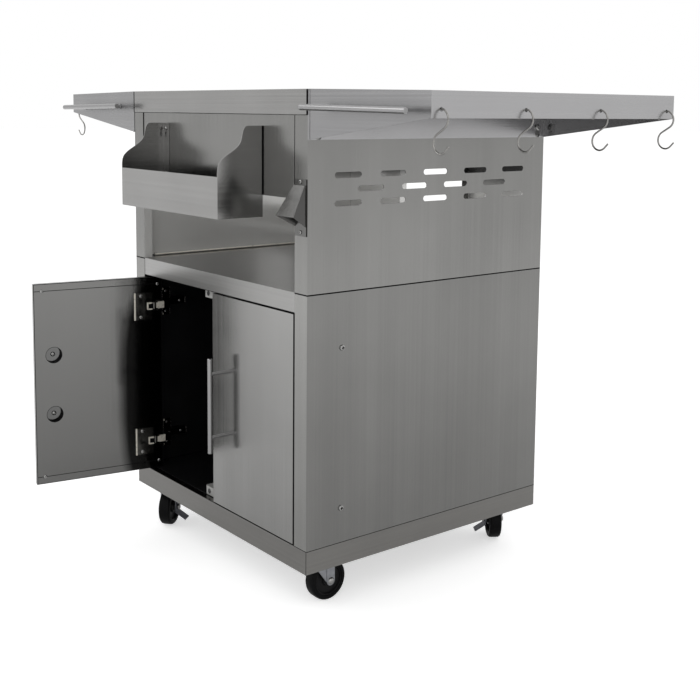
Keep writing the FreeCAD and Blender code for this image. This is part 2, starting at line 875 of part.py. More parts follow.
def turned_open(shape):
    """The left door, which stands open."""
    door = mirrored(shape)
    door.rotate(point(-pin_x, pin_depth, 0), Z_AXIS, -door_open_angle)
    return door


def catches():
    """Magnetic catches behind the free edges of both doors, at the top and at the bottom."""
    front = door_thickness + magnet_proud + touch_gap
    solids = []
    for low in (apron_bottom - touch_gap - catch_height, tray_top + trim_steel + touch_gap):
        for x in (-catch_offset, catch_offset):
            body = block((x - catch_width / 2, x + catch_width / 2), (front, front + catch_depth),
                         (low, low + catch_height))
            uprights = [edge for edge in body.Edges
                        if abs(edge.tangentAt(edge.FirstParameter).z) > 1 - tolerance
                        and edge.CenterOfMass.y < front + tolerance]
            body = body.makeFillet(catch_corner, uprights)
            z = low + catch_height / 2
            magnet = rod(point(x, front - magnet_proud, z), point(x, front + overrun, z), magnet_radius)
            solids.append(joined([body, magnet]))
    return Part.makeCompound(solids)


# Castors, each built with its swivel axis at the origin and its wheel towards +x

def castor_places():
    x = side - castor_side_inset
    back = body_depth - castor_end_inset
    return {"front_right": point(x, castor_end_inset, 0), "front_left": point(-x, castor_end_inset, 0),
            "rear_right": point(x, back, 0), "rear_left": point(-x, back, 0)}


def channel(middle_y):
    """Hat-shaped cross channel under the tray that carries two castors."""
    reach = side_inner - touch_gap
    low = castor_height
    high = tray_top - steel
    half = channel_width / 2
    pieces = [block((-reach, reach), (middle_y - half, middle_y + half), (low, low + channel_steel))]
    for wall in (middle_y - half, middle_y + half - channel_steel):
        pieces.append(block((-reach, reach), (wall, wall + channel_steel), (low, high)))
    for flange in (middle_y - half - channel_flange, middle_y + half):
        pieces.append(block((-reach, reach), (flange, flange + channel_flange),
                            (high - channel_steel, high)))
    holes = []
    for place in castor_places().values():
        if abs(place.y - middle_y) < tolerance:
            holes += [screw_hole(seat.add(place), (0, 0, 1), castor_bolt,
                                 castor_plate_thickness + channel_steel)
                      for seat in castor_bolt_seats()]
    return joined(pieces).cut(holes)


def castor_bolt_seats():
    """Under the castor plate, at its four corners."""
    z = castor_height - castor_plate_thickness
    return [point(x, y, z) for x in (-castor_bolt_x / 2, castor_bolt_x / 2)
            for y in (-castor_bolt_y / 2, castor_bolt_y / 2)]


def castor_plate():
    low = castor_height - castor_plate_thickness
    plate = block((-castor_plate_x / 2, castor_plate_x / 2), (-castor_plate_y / 2, castor_plate_y / 2),
                  (low, castor_height))
    race_low = low - raceway_height
    race = rod(point(0, 0, race_low), point(0, 0, low), raceway_radius)
    bore = rod(point(0, 0, race_low - overrun), point(0, 0, race_low + kingpin_length + touch_gap),
               kingpin_radius + running_gap)
    holes = [screw_hole(seat, (0, 0, 1), castor_bolt, castor_plate_thickness)
             for seat in castor_bolt_seats()]
    return joined([plate, race]).cut([bore] + holes)


def castor_bolts():
    """Bolts of one castor with a nut above the channel on each."""
    solids = []
    above = castor_height + channel_steel
    for seat in castor_bolt_seats():
        length = above + castor_bolt[1] + castor_bolt_end - seat.z
        nut_seat = point(seat.x, seat.y, above)
        nut = rod(nut_seat, nut_seat.add(point(0, 0, castor_bolt[1])), castor_bolt[0])
        solids.append(joined([screw(seat, (0, 0, 1), castor_bolt, length), nut]))
    return solids


def at_each_castor(solids):
    moved = []
    for place in castor_places().values():
        for solid in solids:
            copy = solid.copy()
            copy.translate(place)
            moved.append(copy)
    return Part.makeCompound(moved)


def round_ended(top_low_x, top_high_x, top_z, end_x, end_z, radius):
    """Outline of a plate that narrows from a straight top edge to a round end, as points."""
    corners = []
    for x, way in ((top_low_x, -1), (top_high_x, 1)):
        reach_x = x - end_x
        reach_z = top_z - end_z
        distance = math.hypot(reach_x, reach_z)
        base = math.atan2(reach_z, reach_x)
        spread = math.acos(radius / distance)
        turn = base - way * spread
        corners.append((end_x + radius * math.cos(turn), end_z + radius * math.sin(turn)))
    return corners


def tapered_plate(top_low_x, top_high_x, top_z, radius, low_y, high_y):
    """Upright plate from a straight top edge down to a round end on the axle."""
    end_x = castor_trail
    end_z = wheel_radius
    (ax, az), (bx, bz) = round_ended(top_low_x, top_high_x, top_z, end_x, end_z, radius)
    bottom = point(end_x, low_y, end_z - radius)
    first = point(ax, low_y, az)
    last = point(bx, low_y, bz)
    top_left = point(top_low_x, low_y, top_z)
    top_right = point(top_high_x, low_y, top_z)
    edges = [Part.LineSegment(top_right, top_left).toShape(), Part.LineSegment(top_left, first).toShape(),
             Part.Arc(first, bottom, last).toShape(), Part.LineSegment(last, top_right).toShape()]
    return Part.Face(Part.Wire(edges)).extrude(point(0, high_y - low_y, 0))


def fork_outer():
    return fork_gap / 2 + fork_steel


def axle(low_y, high_y, radius):
    return rod(point(castor_trail, low_y, wheel_radius), point(castor_trail, high_y, wheel_radius), radius)


def fork():
    """Swivelling fork with its kingpin."""
    top = castor_height - castor_plate_thickness - raceway_height - touch_gap
    low = top - crown_thickness
    half = fork_outer()
    crown = rod(point(0, 0, low), point(0, 0, top), crown_radius)
    bridge = block((-fork_back, fork_front), (-half, half), (low - fork_steel, low))
    kingpin = rod(point(0, 0, low), point(0, 0, top + kingpin_length), kingpin_radius)
    legs = [tapered_plate(-fork_back, fork_front, low, fork_end_radius, y, y + fork_steel)
            for y in (-half, half - fork_steel)]
    hole = axle(-half - overrun, half + overrun, axle_radius + running_gap)
    return joined([crown, bridge, kingpin] + legs).cut(hole)


def axle_bolt():
    """Axle through fork, wheel and brake lever, with a head on one side and a nut on the other."""
    half = fork_outer()
    outer = half + touch_gap + lever_thickness + touch_gap
    shank = axle(-half, outer + axle_head_height, axle_radius)
    head = axle(-half - axle_head_height, -half, axle_head_radius)
    nut = axle(outer, outer + axle_head_height, axle_head_radius)
    return joined([shank, head, nut])


def wheel():
    """Wheel with rounded shoulders, recessed sides and a hub bored for the axle."""
    half = wheel_width / 2
    tyre = axle(-half, half, wheel_radius)
    rims = [edge for edge in tyre.Edges if abs(edge.Length - 2 * math.pi * wheel_radius) < tolerance]
    tyre = tyre.makeFillet(wheel_shoulder, rims)
    inner = wheel_radius - wheel_rim_depth
    web = wheel_web_width / 2
    recesses = [axle(web, half + overrun, inner), axle(-half - overrun, -web, inner)]
    hub = axle(-hub_width / 2, hub_width / 2, hub_radius)
    bore = axle(-hub_width / 2 - overrun, hub_width / 2 + overrun, axle_radius + running_gap)
    return joined([tyre.cut(recesses), hub]).cut(bore)


def brake_lever():
    """Side brake lever: round-topped plate on the axle and a tab sloping down and out for the foot."""
    low = fork_outer() + touch_gap
    high = low + lever_thickness
    half = lever_width / 2
    foot = wheel_radius - lever_arm
    start = castor_trail - half
    plate = block((start, start + lever_width), (low, high), (foot, wheel_radius))
    tab = prism([point(start, low, foot), point(start, low, foot + lever_thickness),
                 point(start, high + lever_tab_reach, foot + lever_thickness - lever_tab_drop),
                 point(start, high + lever_tab_reach, foot - lever_tab_drop)],
                point(lever_width, 0, 0))
    hole = axle(low - overrun, high + overrun, axle_radius + running_gap)
    return joined([plate, axle(low, high, half), tab]).cut(hole)


def at_castor(shape, corner):
    """Turn a castor's moving piece to its own angle and move it to its corner."""
    placed = shape.copy()
    placed.rotate(ZERO, Z_AXIS, trail_angles[corner])
    placed.translate(castor_places()[corner])
    return placed


# Fasteners of the cabinet

def cabinet_screws():
    """Hinge bolts through the sides and the screws between the upper sides and the deck."""
    screws = []
    for place in hinge_bolt_places():
        bolt = screw(place, (-1, 0, 0), pan_screw, liner_depth + hinge_bolt_grip)
        screws += [bolt, mirrored(bolt)]
    for place in deck_screw_places():
        screws.append(screw(place, (0, 0, -1), small_screw, 2 * steel))
    return Part.makeCompound(screws)


def shelf_bolts():
    """Bolts of both shelves with a nut inside the cabinet on each."""
    solids = []
    for place in shelf_bolt_places():
        length = trim_steel + touch_gap + steel + shelf_bolt[1]
        inside = point(side_inner, place.y, place.z)
        nut = rod(inside, inside.sub(point(shelf_bolt[1], 0, 0)), shelf_bolt[0])
        bolt = joined([screw(place, (-1, 0, 0), shelf_bolt, length), nut])
        solids += [bolt, mirrored(bolt)]
    return Part.makeCompound(solids)


def accessory_screws():
    """Screws of the rack, the bottle opener and the towel bars."""
    screws = []
    for place in rack_screw_places():
        screws.append(screw(place, (0, 1, 0), small_screw, trim_steel + touch_gap + steel))
    for place in opener_screw_places():
        screws.append(screw(place, (0, 1, 0), small_screw, 2 * steel))
    for place in towel_screw_places():
        towel_screw = screw(place, (0, -1, 0), small_screw, post_screw_length)
        screws += [towel_screw, mirrored(towel_screw)]
    return Part.makeCompound(screws)


# Every piece by its node name

def main():
    save("base_tray", base_tray())
    save("cabinet_floor", cabinet_floor())
    save("lower_side_right", lower_side())
    save("lower_side_left", mirrored(lower_side()))
    save("side_liner_right", side_liner())
    save("side_liner_left", mirrored(side_liner()))
    save("lower_back", lower_back())
    save("back_liner", back_liner())
    save("deck", deck())
    save("upper_side_right", upper_side())
    save("upper_side_left", mirrored(upper_side()))
    save("front_panel", front_panel())
    save("upper_back", upper_back())
    save("top_frame", top_frame())
    save("shelf_right", shelf())
    save("shelf_left", mirrored(shelf()))
    save("towel_bar_right", towel_bar())
    save("towel_bar_left", mirrored(towel_bar()))
    save("rack", rack())
    save("bottle_opener", bottle_opener())
    save("hinge_arms_right", hinge_arms())
    save("hinge_arms_left", mirrored(hinge_arms()))
    save("catches", catches())
    save("cabinet_screws", cabinet_screws())
    save("shelf_bolts", shelf_bolts())
    save("accessory_screws", accessory_screws())
    save("castor_channels", Part.makeCompound([channel(castor_end_inset),
                                               channel(body_depth - castor_end_inset)]))
    save("castor_plates", at_each_castor([castor_plate()]))
    save("castor_bolts", at_each_castor(castor_bolts()))
    for name, piece in (("skin", door_skin()), ("inner", door_inner()), ("handle", handle()),
                        ("hinge_cups", hinge_cups()), ("screws", door_screws())):
        save("door_" + name + "_right", piece)
        save("door_" + name + "_left", turned_open(piece))
    for corner in trail_angles:
        save("castor_fork_" + corner, at_castor(Part.makeCompound([fork(), axle_bolt()]), corner))
        save("castor_wheel_" + corner, at_castor(wheel(), corner))
        save("castor_brake_" + corner, at_castor(brake_lever(), corner))
    for index, y in enumerate(hook_ys(), 1):
        save("hook_right_" + str(index), placed_hook(y))
        save("hook_left_" + str(index), mirrored(placed_hook(y)))


main()
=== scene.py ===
import json
import math

import bmesh
import bpy
from bpy.props import FloatProperty, FloatVectorProperty, IntProperty, PointerProperty
from mathutils import Matrix, Vector


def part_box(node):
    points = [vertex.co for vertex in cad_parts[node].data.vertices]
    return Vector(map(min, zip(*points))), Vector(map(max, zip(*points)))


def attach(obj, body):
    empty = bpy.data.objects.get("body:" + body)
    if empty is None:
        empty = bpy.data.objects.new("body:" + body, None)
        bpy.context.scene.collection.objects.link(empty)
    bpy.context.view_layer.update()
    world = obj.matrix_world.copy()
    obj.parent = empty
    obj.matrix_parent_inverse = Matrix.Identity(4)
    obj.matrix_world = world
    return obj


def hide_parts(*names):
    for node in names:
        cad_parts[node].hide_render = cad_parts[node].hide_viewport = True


bl_info = {
    "name": "Grill cart",
    "version": (1, 0, 0),
    "blender": (4, 5, 0),
    "location": "3D View > Sidebar > Grill cart",
    "description": "Dresses a stainless grill cart with storage for rendering",
    "category": "Object",
}

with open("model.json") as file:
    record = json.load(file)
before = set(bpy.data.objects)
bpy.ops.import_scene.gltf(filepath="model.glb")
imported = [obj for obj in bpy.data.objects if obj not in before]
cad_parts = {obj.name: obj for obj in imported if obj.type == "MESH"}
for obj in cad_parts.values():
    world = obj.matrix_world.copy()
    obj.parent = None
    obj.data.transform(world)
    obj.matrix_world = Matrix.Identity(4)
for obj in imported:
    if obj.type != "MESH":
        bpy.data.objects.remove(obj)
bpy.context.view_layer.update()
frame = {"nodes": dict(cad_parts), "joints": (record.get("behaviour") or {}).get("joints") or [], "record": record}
SIDES = ("right", "left")
CORNERS = ("front_right", "front_left", "rear_right", "rear_left")
JOINTS = {joint["name"]: joint for joint in frame["joints"]}
SLOTS = {part["node"]: part["material_slot"] for part in frame["record"]["subparts"]}

# Vertices closer than these are one: in new pieces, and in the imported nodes' loose triangles
SAME_PLACE = 1e-7
CAD_SEAM = 2e-6

# Part of a noise's range that most of it fills
NOISE_MIDDLE = (0.3, 0.7)

# Height of a screw's head as a share of its radius
SCREW_HEAD_SHARE = 0.61

# How far a black strip of painted shade reaches in behind a sheet's face
LAP = 0.0008

# Height of the level at which the inner skin's painted reflection of the black cabinet is widest, as a share of
# the skin's height
SHADE_LEVEL = 0.4

# What the lamps point at
CART_MIDDLE = Vector((0, 0, 0.45))


# What a user can change

def length(name, description, default):
    return FloatProperty(name=name, description=description, default=default, min=0.0, unit="LENGTH",
                         subtype="DISTANCE", precision=5)


def colour(name, description, default):
    return FloatVectorProperty(name=name, description=description, default=default, size=3, min=0.0,
                               max=1.0, subtype="COLOR")


class CartSizes(bpy.types.PropertyGroup):
    """Sizes of the details that are added to the cart"""

    fold: length("Fold radius", "Rounding of the folded sheet edges", 0.00055)
    thin_fold: length("Thin fold radius", "Rounding of the edges of thin sheet", 0.00038)
    hinge_edge: length("Hinge rounding", "Rounding of the hinge pieces' edges", 0.0006)
    bar_chamfer: length("Bar chamfer", "Chamfer at the ends of handles and towel bars", 0.0009)
    towel_radius: length("Towel bar radius", "Radius of the towel bars", 0.005)
    towel_post: length("Towel bar post", "Radius of the towel bars' posts", 0.004)
    collar_radius: length("Collar radius", "Radius of the collars under the towel bar's posts", 0.0054)
    collar_height: length("Collar height", "Height of the collars under the towel bar's posts", 0.0022)
    post_inset: length("Post inset", "Distance of the towel bar's posts from its ends", 0.044)
    handle_post: length("Handle post", "Radius of the door handles' posts", 0.0035)
    handle_spread: length("Handle spread", "Distance of a handle's posts from its middle", 0.06)
    # The black strips in the joints and in the frame gap are painted shade
    joint_line: length("Joint line", "Height of the black sealing strip in a joint", 0.0011)
    joint_proud: length("Joint step", "How far the sealing strips stand out of the steel", 0.00012)
    cup_radius: length("Cup radius", "Radius of the black cups in the doors' access holes", 0.0163)
    cup_wall: length("Cup wall", "Wall of the black cups in the doors' access holes", 0.0006)
    skin_border: length("Skin border", "Distance of the border lines from the inner skin's ends", 0.0132)
    skin_line: length("Skin line", "Width of the dark lines on the doors' inner skins", 0.0012)
    # The shade on a door's inner skin is a painted reflection of the black cabinet
    shade_far: length("Shade's start", "How far from the hinge an inner skin begins to darken", 0.095)
    shade_near: length("Shade's end", "How far from the hinge an inner skin is darkest", 0.073)
    shade_bow: length("Shade's bow", "How far the shade on a door's inner skin draws back at its top", 0.055)
    # The bay's darkening is painted shade
    bay_shade: length("Bay's shade", "Half the height over which the bay's inner faces darken", 0.02)
    plate_half: length("Hinge plate", "Half the height of a hinge's plate", 0.029)
    hinge_notch: length("Hinge notch", "Half the height of the notch for a hinge in the inner skin", 0.0112)
    catch_edge: length("Catch rounding", "Rounding of the catches' edges", 0.0008)
    magnet_radius: length("Magnet radius", "Radius of the magnets in the catches", 0.0047)
    bead: length("Bead", "Radius of the rolled edge on the upper sides' bottom flanges", 0.0014)
    frame_gap: length("Frame gap", "Width of the dark gap between top frame and shelf", 0.0032)
    hook_wire: length("Hook wire", "Radius of the hook's wire", 0.0015)
    hook_loop: length("Hook loop", "Radius of a hook's loops to the wire's middle", 0.015)
    hook_spacing: length("Hook spacing", "Distance between the middles of a hook's loops", 0.035)
    hook_tip: length("Hook tip", "Length of the straight end of a hook", 0.0095)
    recess_depth: length("Recess depth", "Depth of the cross recess in the screws", 0.0011)
    fork_half: length("Fork half width", "Distance of a fork's outer faces from its middle", 0.016)
    fork_sheet: length("Fork sheet", "Thickness of the castors' forks", 0.0025)
    crown_radius: length("Fork crown", "Radius of the crown on top of a castor's fork", 0.023)
    axle_radius: length("Axle radius", "Radius of the castors' axle bolts", 0.004)
    brake_edge: length("Brake rounding", "Rounding of the brake levers' edges", 0.0006)
    rib_height: length("Fork rib", "How far the rib stands out of a castor's leg", 0.0013)
    tread_groove: length("Tread groove", "Depth of the grooves beside the wheel's tread", 0.0006)
    sides_round: IntProperty(name="Round steps", description="Steps round a turned piece", default=40,
                             min=12, max=96)


class CartColours(bpy.types.PropertyGroup):
    """Colours of the cart's finishes"""

    panel: colour("Upper panels", "Brushed stainless of the upper cabinet", (0.210, 0.209, 0.203))
    side: colour("Lower sides", "Brushed stainless of the lower cabinet's sides", (0.182, 0.181, 0.176))
    # Painted light: the posts are the lower sides' front faces, painted lighter than the sides
    post: colour("Posts", "Front posts of the lower cabinet", (0.246, 0.245, 0.238))
    opener: colour("Opener", "Brushed stainless of the bottle opener", (0.128, 0.127, 0.124))
    # Painted shade: the cheeks are the opener's side faces, painted darker than its front
    cheek: colour("Opener's cheeks", "Brushed stainless of the opener's cheeks", (0.072, 0.071, 0.069))
    door: colour("Doors", "Brushed stainless of the doors", (0.260, 0.259, 0.254))
    band: colour("Band", "Brushed stainless of the top frame and the rack", (0.272, 0.270, 0.265))
    skirt: colour("Skirt", "Brushed stainless of the base tray", (0.190, 0.186, 0.178))
    shelf: colour("Shelves", "Brushed stainless of the side shelves", (0.268, 0.267, 0.270))
    # Painted sheen: the shelf edges are the shelves' side faces, painted lighter than the shelves
    fascia: colour("Shelf edges", "Outer edges of the side shelves", (0.360, 0.358, 0.362))
    deck: colour("Deck", "Brushed stainless of the deck", (0.258, 0.257, 0.253))
    # Painted light: the apron is the deck's front face, painted lighter than the deck
    apron: colour("Apron", "Brushed stainless of the deck's front apron", (0.305, 0.303, 0.298))
    mill: colour("Mill finish", "Smooth inner faces of the upper cabinet", (0.620, 0.615, 0.600))
    inner: colour("Inner skins", "Brushed stainless of the doors' inner skins", (0.166, 0.165, 0.161))
    lining: colour("Lining", "Black paint of the cabinet's lining", (0.0030, 0.0030, 0.0034))
    bar: colour("Bars", "Polished bars of handles and towel rails", (0.270, 0.268, 0.270))
    nickel: colour("Hinges", "Nickel plating of the hinges", (0.090, 0.088, 0.082))
    # Painted highlight: a lit copy of the hinges' nickel, also on the upper sides' beads
    bright: colour("Hinge trims", "Bright nickel of the hinges' links and edges", (0.600, 0.570, 0.500))
    mirror: colour("Cup floors", "Bare steel at the bottom of the access holes", (0.140, 0.140, 0.138))
    screw: colour("Screws", "Zinc plated screws", (0.300, 0.298, 0.292))
    wire: colour("Hooks", "Polished wire of the hooks", (0.240, 0.235, 0.225))
    zinc: colour("Zinc", "Zinc plate of the castors", (0.270, 0.277, 0.295))
    galvanised: colour("Galvanised sheet", "Galvanised back panel and channels", (0.210, 0.214, 0.220))
    brake: colour("Brakes", "Dark plated steel of the brake levers", (0.120, 0.123, 0.140))
    rubber: colour("Wheels", "Black rubber of the wheels", (0.0040, 0.0040, 0.0043))
    hub: colour("Wheel centres", "Black moulded plastic of the wheel centres", (0.0065, 0.0065, 0.0070))
    catch: colour("Catches", "Light plastic of the catches", (0.300, 0.300, 0.290))
    magnet: colour("Magnets", "Black magnets of the catches", (0.015, 0.015, 0.016))
    # Painted shade: black of the strips in joints and grooves, the hinge windows and the access cups; the cups'
    # washers are black too
    shade_and_washer_black: colour("Seals", "Black filler in joints and access holes", (0.0030, 0.0030, 0.0033))


def sizes():
    return bpy.context.scene.grill_cart_sizes


def colours():
    return bpy.context.scene.grill_cart_colours


# Finishes

def link(source, target):
    target.id_data.links.new(source, target)


def node_adder(tree):
    """Function that adds a node to a tree, sets its values and links its inputs."""

    def add(kind, links=(), **values):
        node = tree.nodes.new(kind)
        for key, value in values.items():
            if key in node.inputs:
                node.inputs[key].default_value = value
            else:
                setattr(node, key, value)
        for source, socket in links:
            link(source, node.inputs[socket])
        return node

    return add


def finish_nodes(name):
    """Shader of a new material, and the function that adds nodes beside it."""
    material = bpy.data.materials.new(name)
    material.use_nodes = True
    return material.node_tree.nodes["Principled BSDF"], node_adder(material.node_tree)


def calculated(add, operation, first, second):
    """Result of one calculation with two sockets or numbers."""
    node = add("ShaderNodeMath", operation=operation)
    for value, socket in zip((first, second), node.inputs):
        if isinstance(value, float):
            socket.default_value = value
        else:
            link(value, socket)
    return node.outputs[0]


def ranged(add, source, from_low, from_high, low, high):
    """Carry one range of values to another."""
    limits = {"From Min": from_low, "From Max": from_high, "To Min": low, "To Max": high}
    return add("ShaderNodeMapRange", [(source, 0)], **limits).outputs[0]


def streaks(add, scale, detail=3.0):
    """Noise drawn out along one direction of the piece."""
    place = add("ShaderNodeTexCoord")
    stretch = add("ShaderNodeMapping", [(place.outputs["Object"], "Vector")], Scale=scale)
    return add("ShaderNodeTexNoise", [(stretch.outputs["Vector"], "Vector")], Scale=1.0, Detail=detail,
               Roughness=0.6).outputs["Fac"]


def along_grain(add, grain, along, across, detail=3.0):
    """Streaks that run along the axes named by the grain."""
    return streaks(add, [along if axis in grain else across for axis in "xyz"], detail)


def spread(add, source, low, high):
    """Carry the middle of a noise to a range of values."""
    return ranged(add, source, *NOISE_MIDDLE, low, high)


def tinted(add, shader, source, tone, share):
    """Colour that varies a little with a noise."""
    ramp = add("ShaderNodeValToRGB", [(source, "Fac")])
    for element, place, change in zip(ramp.color_ramp.elements, NOISE_MIDDLE, (1 - share, 1 + share)):
        element.position = place
        element.color = [min(1.0, part * change) for part in tone] + [1]
    link(ramp.outputs["Color"], shader.inputs["Base Color"])


def surface(add, shader, rough, relief, strength, depth):
    """Roughness and fine relief of a finish."""
    bump = add("ShaderNodeBump", [(relief, "Height")], Strength=strength, Distance=depth)
    link(rough, shader.inputs["Roughness"])
    link(bump.outputs["Normal"], shader.inputs["Normal"])


def brushed(name, tone, grain, roughness=0.20, share=0.15, metallic=1.0, stretch=0.4):
    """Brushed stainless: straight streaks and soft bands along the grain, and faint handling marks."""
    shader, add = finish_nodes(name)
    fine = along_grain(add, grain, 5.0, 1900.0)
    coarse = along_grain(add, grain, 1.2, 300.0)
    bands = along_grain(add, grain, 0.5, 11.0, 2.0)
    marks = streaks(add, (4.0, 4.0, 4.0), 4.0)
    rough = calculated(add, "ADD", spread(add, coarse, roughness - 0.025, roughness + 0.03),
                       spread(add, marks, -0.02, 0.03))
    surface(add, shader, rough, fine, 0.08, 0.00005)
    total = calculated(add, "ADD", calculated(add, "ADD", coarse, marks), bands)
    tinted(add, shader, calculated(add, "DIVIDE", total, 3.0), tone, share)
    shader.inputs["Metallic"].default_value = metallic
    shader.inputs["Anisotropic"].default_value = stretch
    shader.inputs["Anisotropic Rotation"].default_value = 0.0 if "z" in grain else 0.25


def drawn_back(add, along, height, middle, top, depth):
    """Draw the edge of a painted shade back towards its top, less so towards its foot."""
    share = calculated(add, "DIVIDE", calculated(add, "SUBTRACT", height, middle), top - middle)
    back = calculated(add, "MULTIPLY", calculated(add, "POWER", share, 4.0), depth)
    return calculated(add, "SUBTRACT", along, back)


def paint_shade_along(name, axis, start, finish, share, bow=None):
    """Paint shade into a finish, darkening it from one place to another along an axis."""
    tree = bpy.data.materials[name].node_tree
    add = node_adder(tree)
    tone = tree.nodes["Principled BSDF"].inputs["Base Color"]
    place = add("ShaderNodeTexCoord")
    apart = add("ShaderNodeSeparateXYZ", [(place.outputs["Object"], 0)])
    along = apart.outputs[axis]
    if bow:
        along = drawn_back(add, along, apart.outputs["Z"], *bow)
    level = ranged(add, along, start, finish, 1.0, share)
    sources = [(tone.links[0].from_socket, 0), (level, "Scale")]
    link(add("ShaderNodeVectorMath", sources, operation="SCALE").outputs[0], tone)


def plated(name, tone, roughness, grain_size, share=0.12, metallic=1.0, bump_strength=0.10):
    """Plated steel with a faint mottle."""
    shader, add = finish_nodes(name)
    mottle = streaks(add, (grain_size,) * 3, 4.0)
    rough = spread(add, mottle, roughness - 0.06, roughness + 0.08)
    surface(add, shader, rough, mottle, bump_strength, 0.0001)
    tinted(add, shader, mottle, tone, share)
    shader.inputs["Metallic"].default_value = metallic


def moulded(name, tone, roughness, grain_size, bump_strength=0.2, share=0.15, shine=0.5):
    """Rubber, plastic or paint with its own fine texture."""
    shader, add = finish_nodes(name)
    grain = streaks(add, (grain_size,) * 3, 5.0)
    broad = streaks(add, (18.0, 18.0, 18.0), 3.0)
    rough = calculated(add, "ADD", spread(add, grain, roughness - 0.05, roughness + 0.05),
                       spread(add, broad, -0.04, 0.06))
    surface(add, shader, rough, grain, bump_strength, 0.0002)
    tinted(add, shader, broad, tone, share)
    shader.inputs["Specular IOR Level"].default_value = shine


def spangled(name, tone):
    """Galvanised sheet with its pattern of crystals."""
    shader, add = finish_nodes(name)
    place = add("ShaderNodeTexCoord")
    crystals = add("ShaderNodeTexVoronoi", [(place.outputs["Object"], "Vector")], Scale=170.0)
    shade = add("ShaderNodeSeparateColor", [(crystals.outputs["Color"], "Color")]).outputs[0]
    surface(add, shader, spread(add, shade, 0.30, 0.38), crystals.outputs["Distance"], 0.04, 0.0002)
    tinted(add, shader, shade, tone, 0.035)
    shader.inputs["Metallic"].default_value = 1.0


def inner_skin(side, axis, tone):
    """Smooth stainless of a door's inner skin, with a painted reflection of the black cabinet that darkens it near
    the hinge.
    """
    low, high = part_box("door_inner_" + side)
    hinge_edge = {"X": high.x, "Y": high.y}[axis]
    bow = (low.z + SHADE_LEVEL * (high.z - low.z), high.z, sizes().shade_bow)
    brushed("stainless_inner_" + side, tone, "z", 0.12, 0.05, 1.0, 0.2)
    paint_shade_along("stainless_inner_" + side, axis, hinge_edge - sizes().shade_far,
                 hinge_edge - sizes().shade_near, 0.08, bow)


def mill_finish(tone):
    """Smooth inner faces of the bay, with painted shade above the front panel's lower edge, where the bay is
    closed.
    """
    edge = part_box("front_panel")[0].z
    brushed("mill_finish", tone, "z", 0.15, 0.03, 0.4)
    paint_shade_along("mill_finish", "Z", edge - sizes().bay_shade, edge + sizes().bay_shade, 0.07)


def make_finishes():
    tones = colours()
    for name in ("panel", "side", "post", "opener", "cheek"):
        brushed("stainless_" + name, getattr(tones, name), "z")
    for name in ("band", "skirt"):
        brushed("stainless_" + name, getattr(tones, name), "xy")
    brushed("stainless_door", tones.door, "z", 0.19)
    brushed("stainless_shelf", tones.shelf, "xy", 0.24)
    brushed("stainless_fascia", tones.fascia, "xy", 0.24, 0.04)
    brushed("stainless_deck", tones.deck, "x", 0.15)
    brushed("stainless_apron", tones.apron, "x", 0.30)
    inner_skin("right", "X", tones.inner)
    inner_skin("left", "Y", tones.inner)
    mill_finish(tones.mill)
    brushed("bar_steel", tones.bar, "xz", 0.20, 0.04)
    plated("nickel_plate", tones.nickel, 0.14, 90.0, 0.02, 1.0, 0.03)
    plated("bright_nickel", tones.bright, 0.30, 200.0, 0.04, 0.3)
    plated("mirror_steel", tones.mirror, 0.10, 60.0, 0.04, 1.0, 0.03)
    plated("screw_plate", tones.screw, 0.25, 400.0, 0.08)
    plated("polished_wire", tones.wire, 0.16, 260.0, 0.10)
    plated("castor_zinc", tones.zinc, 0.36, 160.0, 0.12)
    plated("dark_plate", tones.brake, 0.40, 220.0, 0.2)
    spangled("galvanised_sheet", tones.galvanised)
    moulded("lining_paint", tones.lining, 0.42, 900.0, 0.12, shine=0.25)
    moulded("tyre_rubber", tones.rubber, 0.38, 700.0, 0.25, shine=0.06)
    moulded("wheel_centre", tones.hub, 0.33, 500.0, 0.15, shine=0.12)
    moulded("pale_plastic", tones.catch, 0.40, 600.0, 0.1, 0.05)
    moulded("magnet_black", tones.magnet, 0.34, 500.0, 0.1)
    moulded("seal_black", tones.shade_and_washer_black, 0.55, 800.0, 0.1, shine=0.04)


NODE_FINISH = {
    "lower_side_right": "stainless_side", "lower_side_left": "stainless_side",
    "base_tray": "stainless_skirt", "top_frame": "stainless_band", "rack": "stainless_band",
    "bottle_opener": "stainless_opener", "deck": "stainless_deck",
    "shelf_right": "stainless_shelf", "shelf_left": "stainless_shelf",
    "door_skin_right": "stainless_door", "door_skin_left": "stainless_door",
    "door_inner_left": "stainless_inner_left",
    "lower_back": "galvanised_sheet", "castor_channels": "galvanised_sheet",
}
SLOT_FINISH = {
    "brushed_stainless": "stainless_panel", "door_inner_skin": "stainless_inner_right",
    "black_lining": "lining_paint", "polished_bar": "bar_steel", "nickel_hinge": "nickel_plate",
    "screw": "screw_plate", "hook_wire": "polished_wire", "zinc_plate": "castor_zinc",
    "brake_steel": "dark_plate", "wheel_rubber": "tyre_rubber", "catch_plastic": "pale_plastic",
}


def finish_of(node):
    return NODE_FINISH.get(node, SLOT_FINISH[SLOTS[node]])


# Modelling

def moved(part, matrix):
    bmesh.ops.transform(part, matrix=matrix, verts=part.verts)
    return part


def gather(target, part, matrix=None):
    """Move a part into place and add it to another."""
    if matrix is not None:
        moved(part, matrix)
    store = bpy.data.meshes.new("store")
    part.to_mesh(store)
    part.free()
    target.from_mesh(store)
    bpy.data.meshes.remove(store)
    return target


def soften(part, width, segments=2, angle=28.0):
    """Round every edge that is sharper than an angle."""
    sharp = [edge for edge in part.edges
             if len(edge.link_faces) == 2 and edge.calc_face_angle(0.0) > math.radians(angle)]
    bmesh.ops.bevel(part, geom=sharp, offset=width, offset_type="OFFSET", segments=segments, profile=0.5,
                    affect="EDGES", clamp_overlap=True, material=-1)
    return part


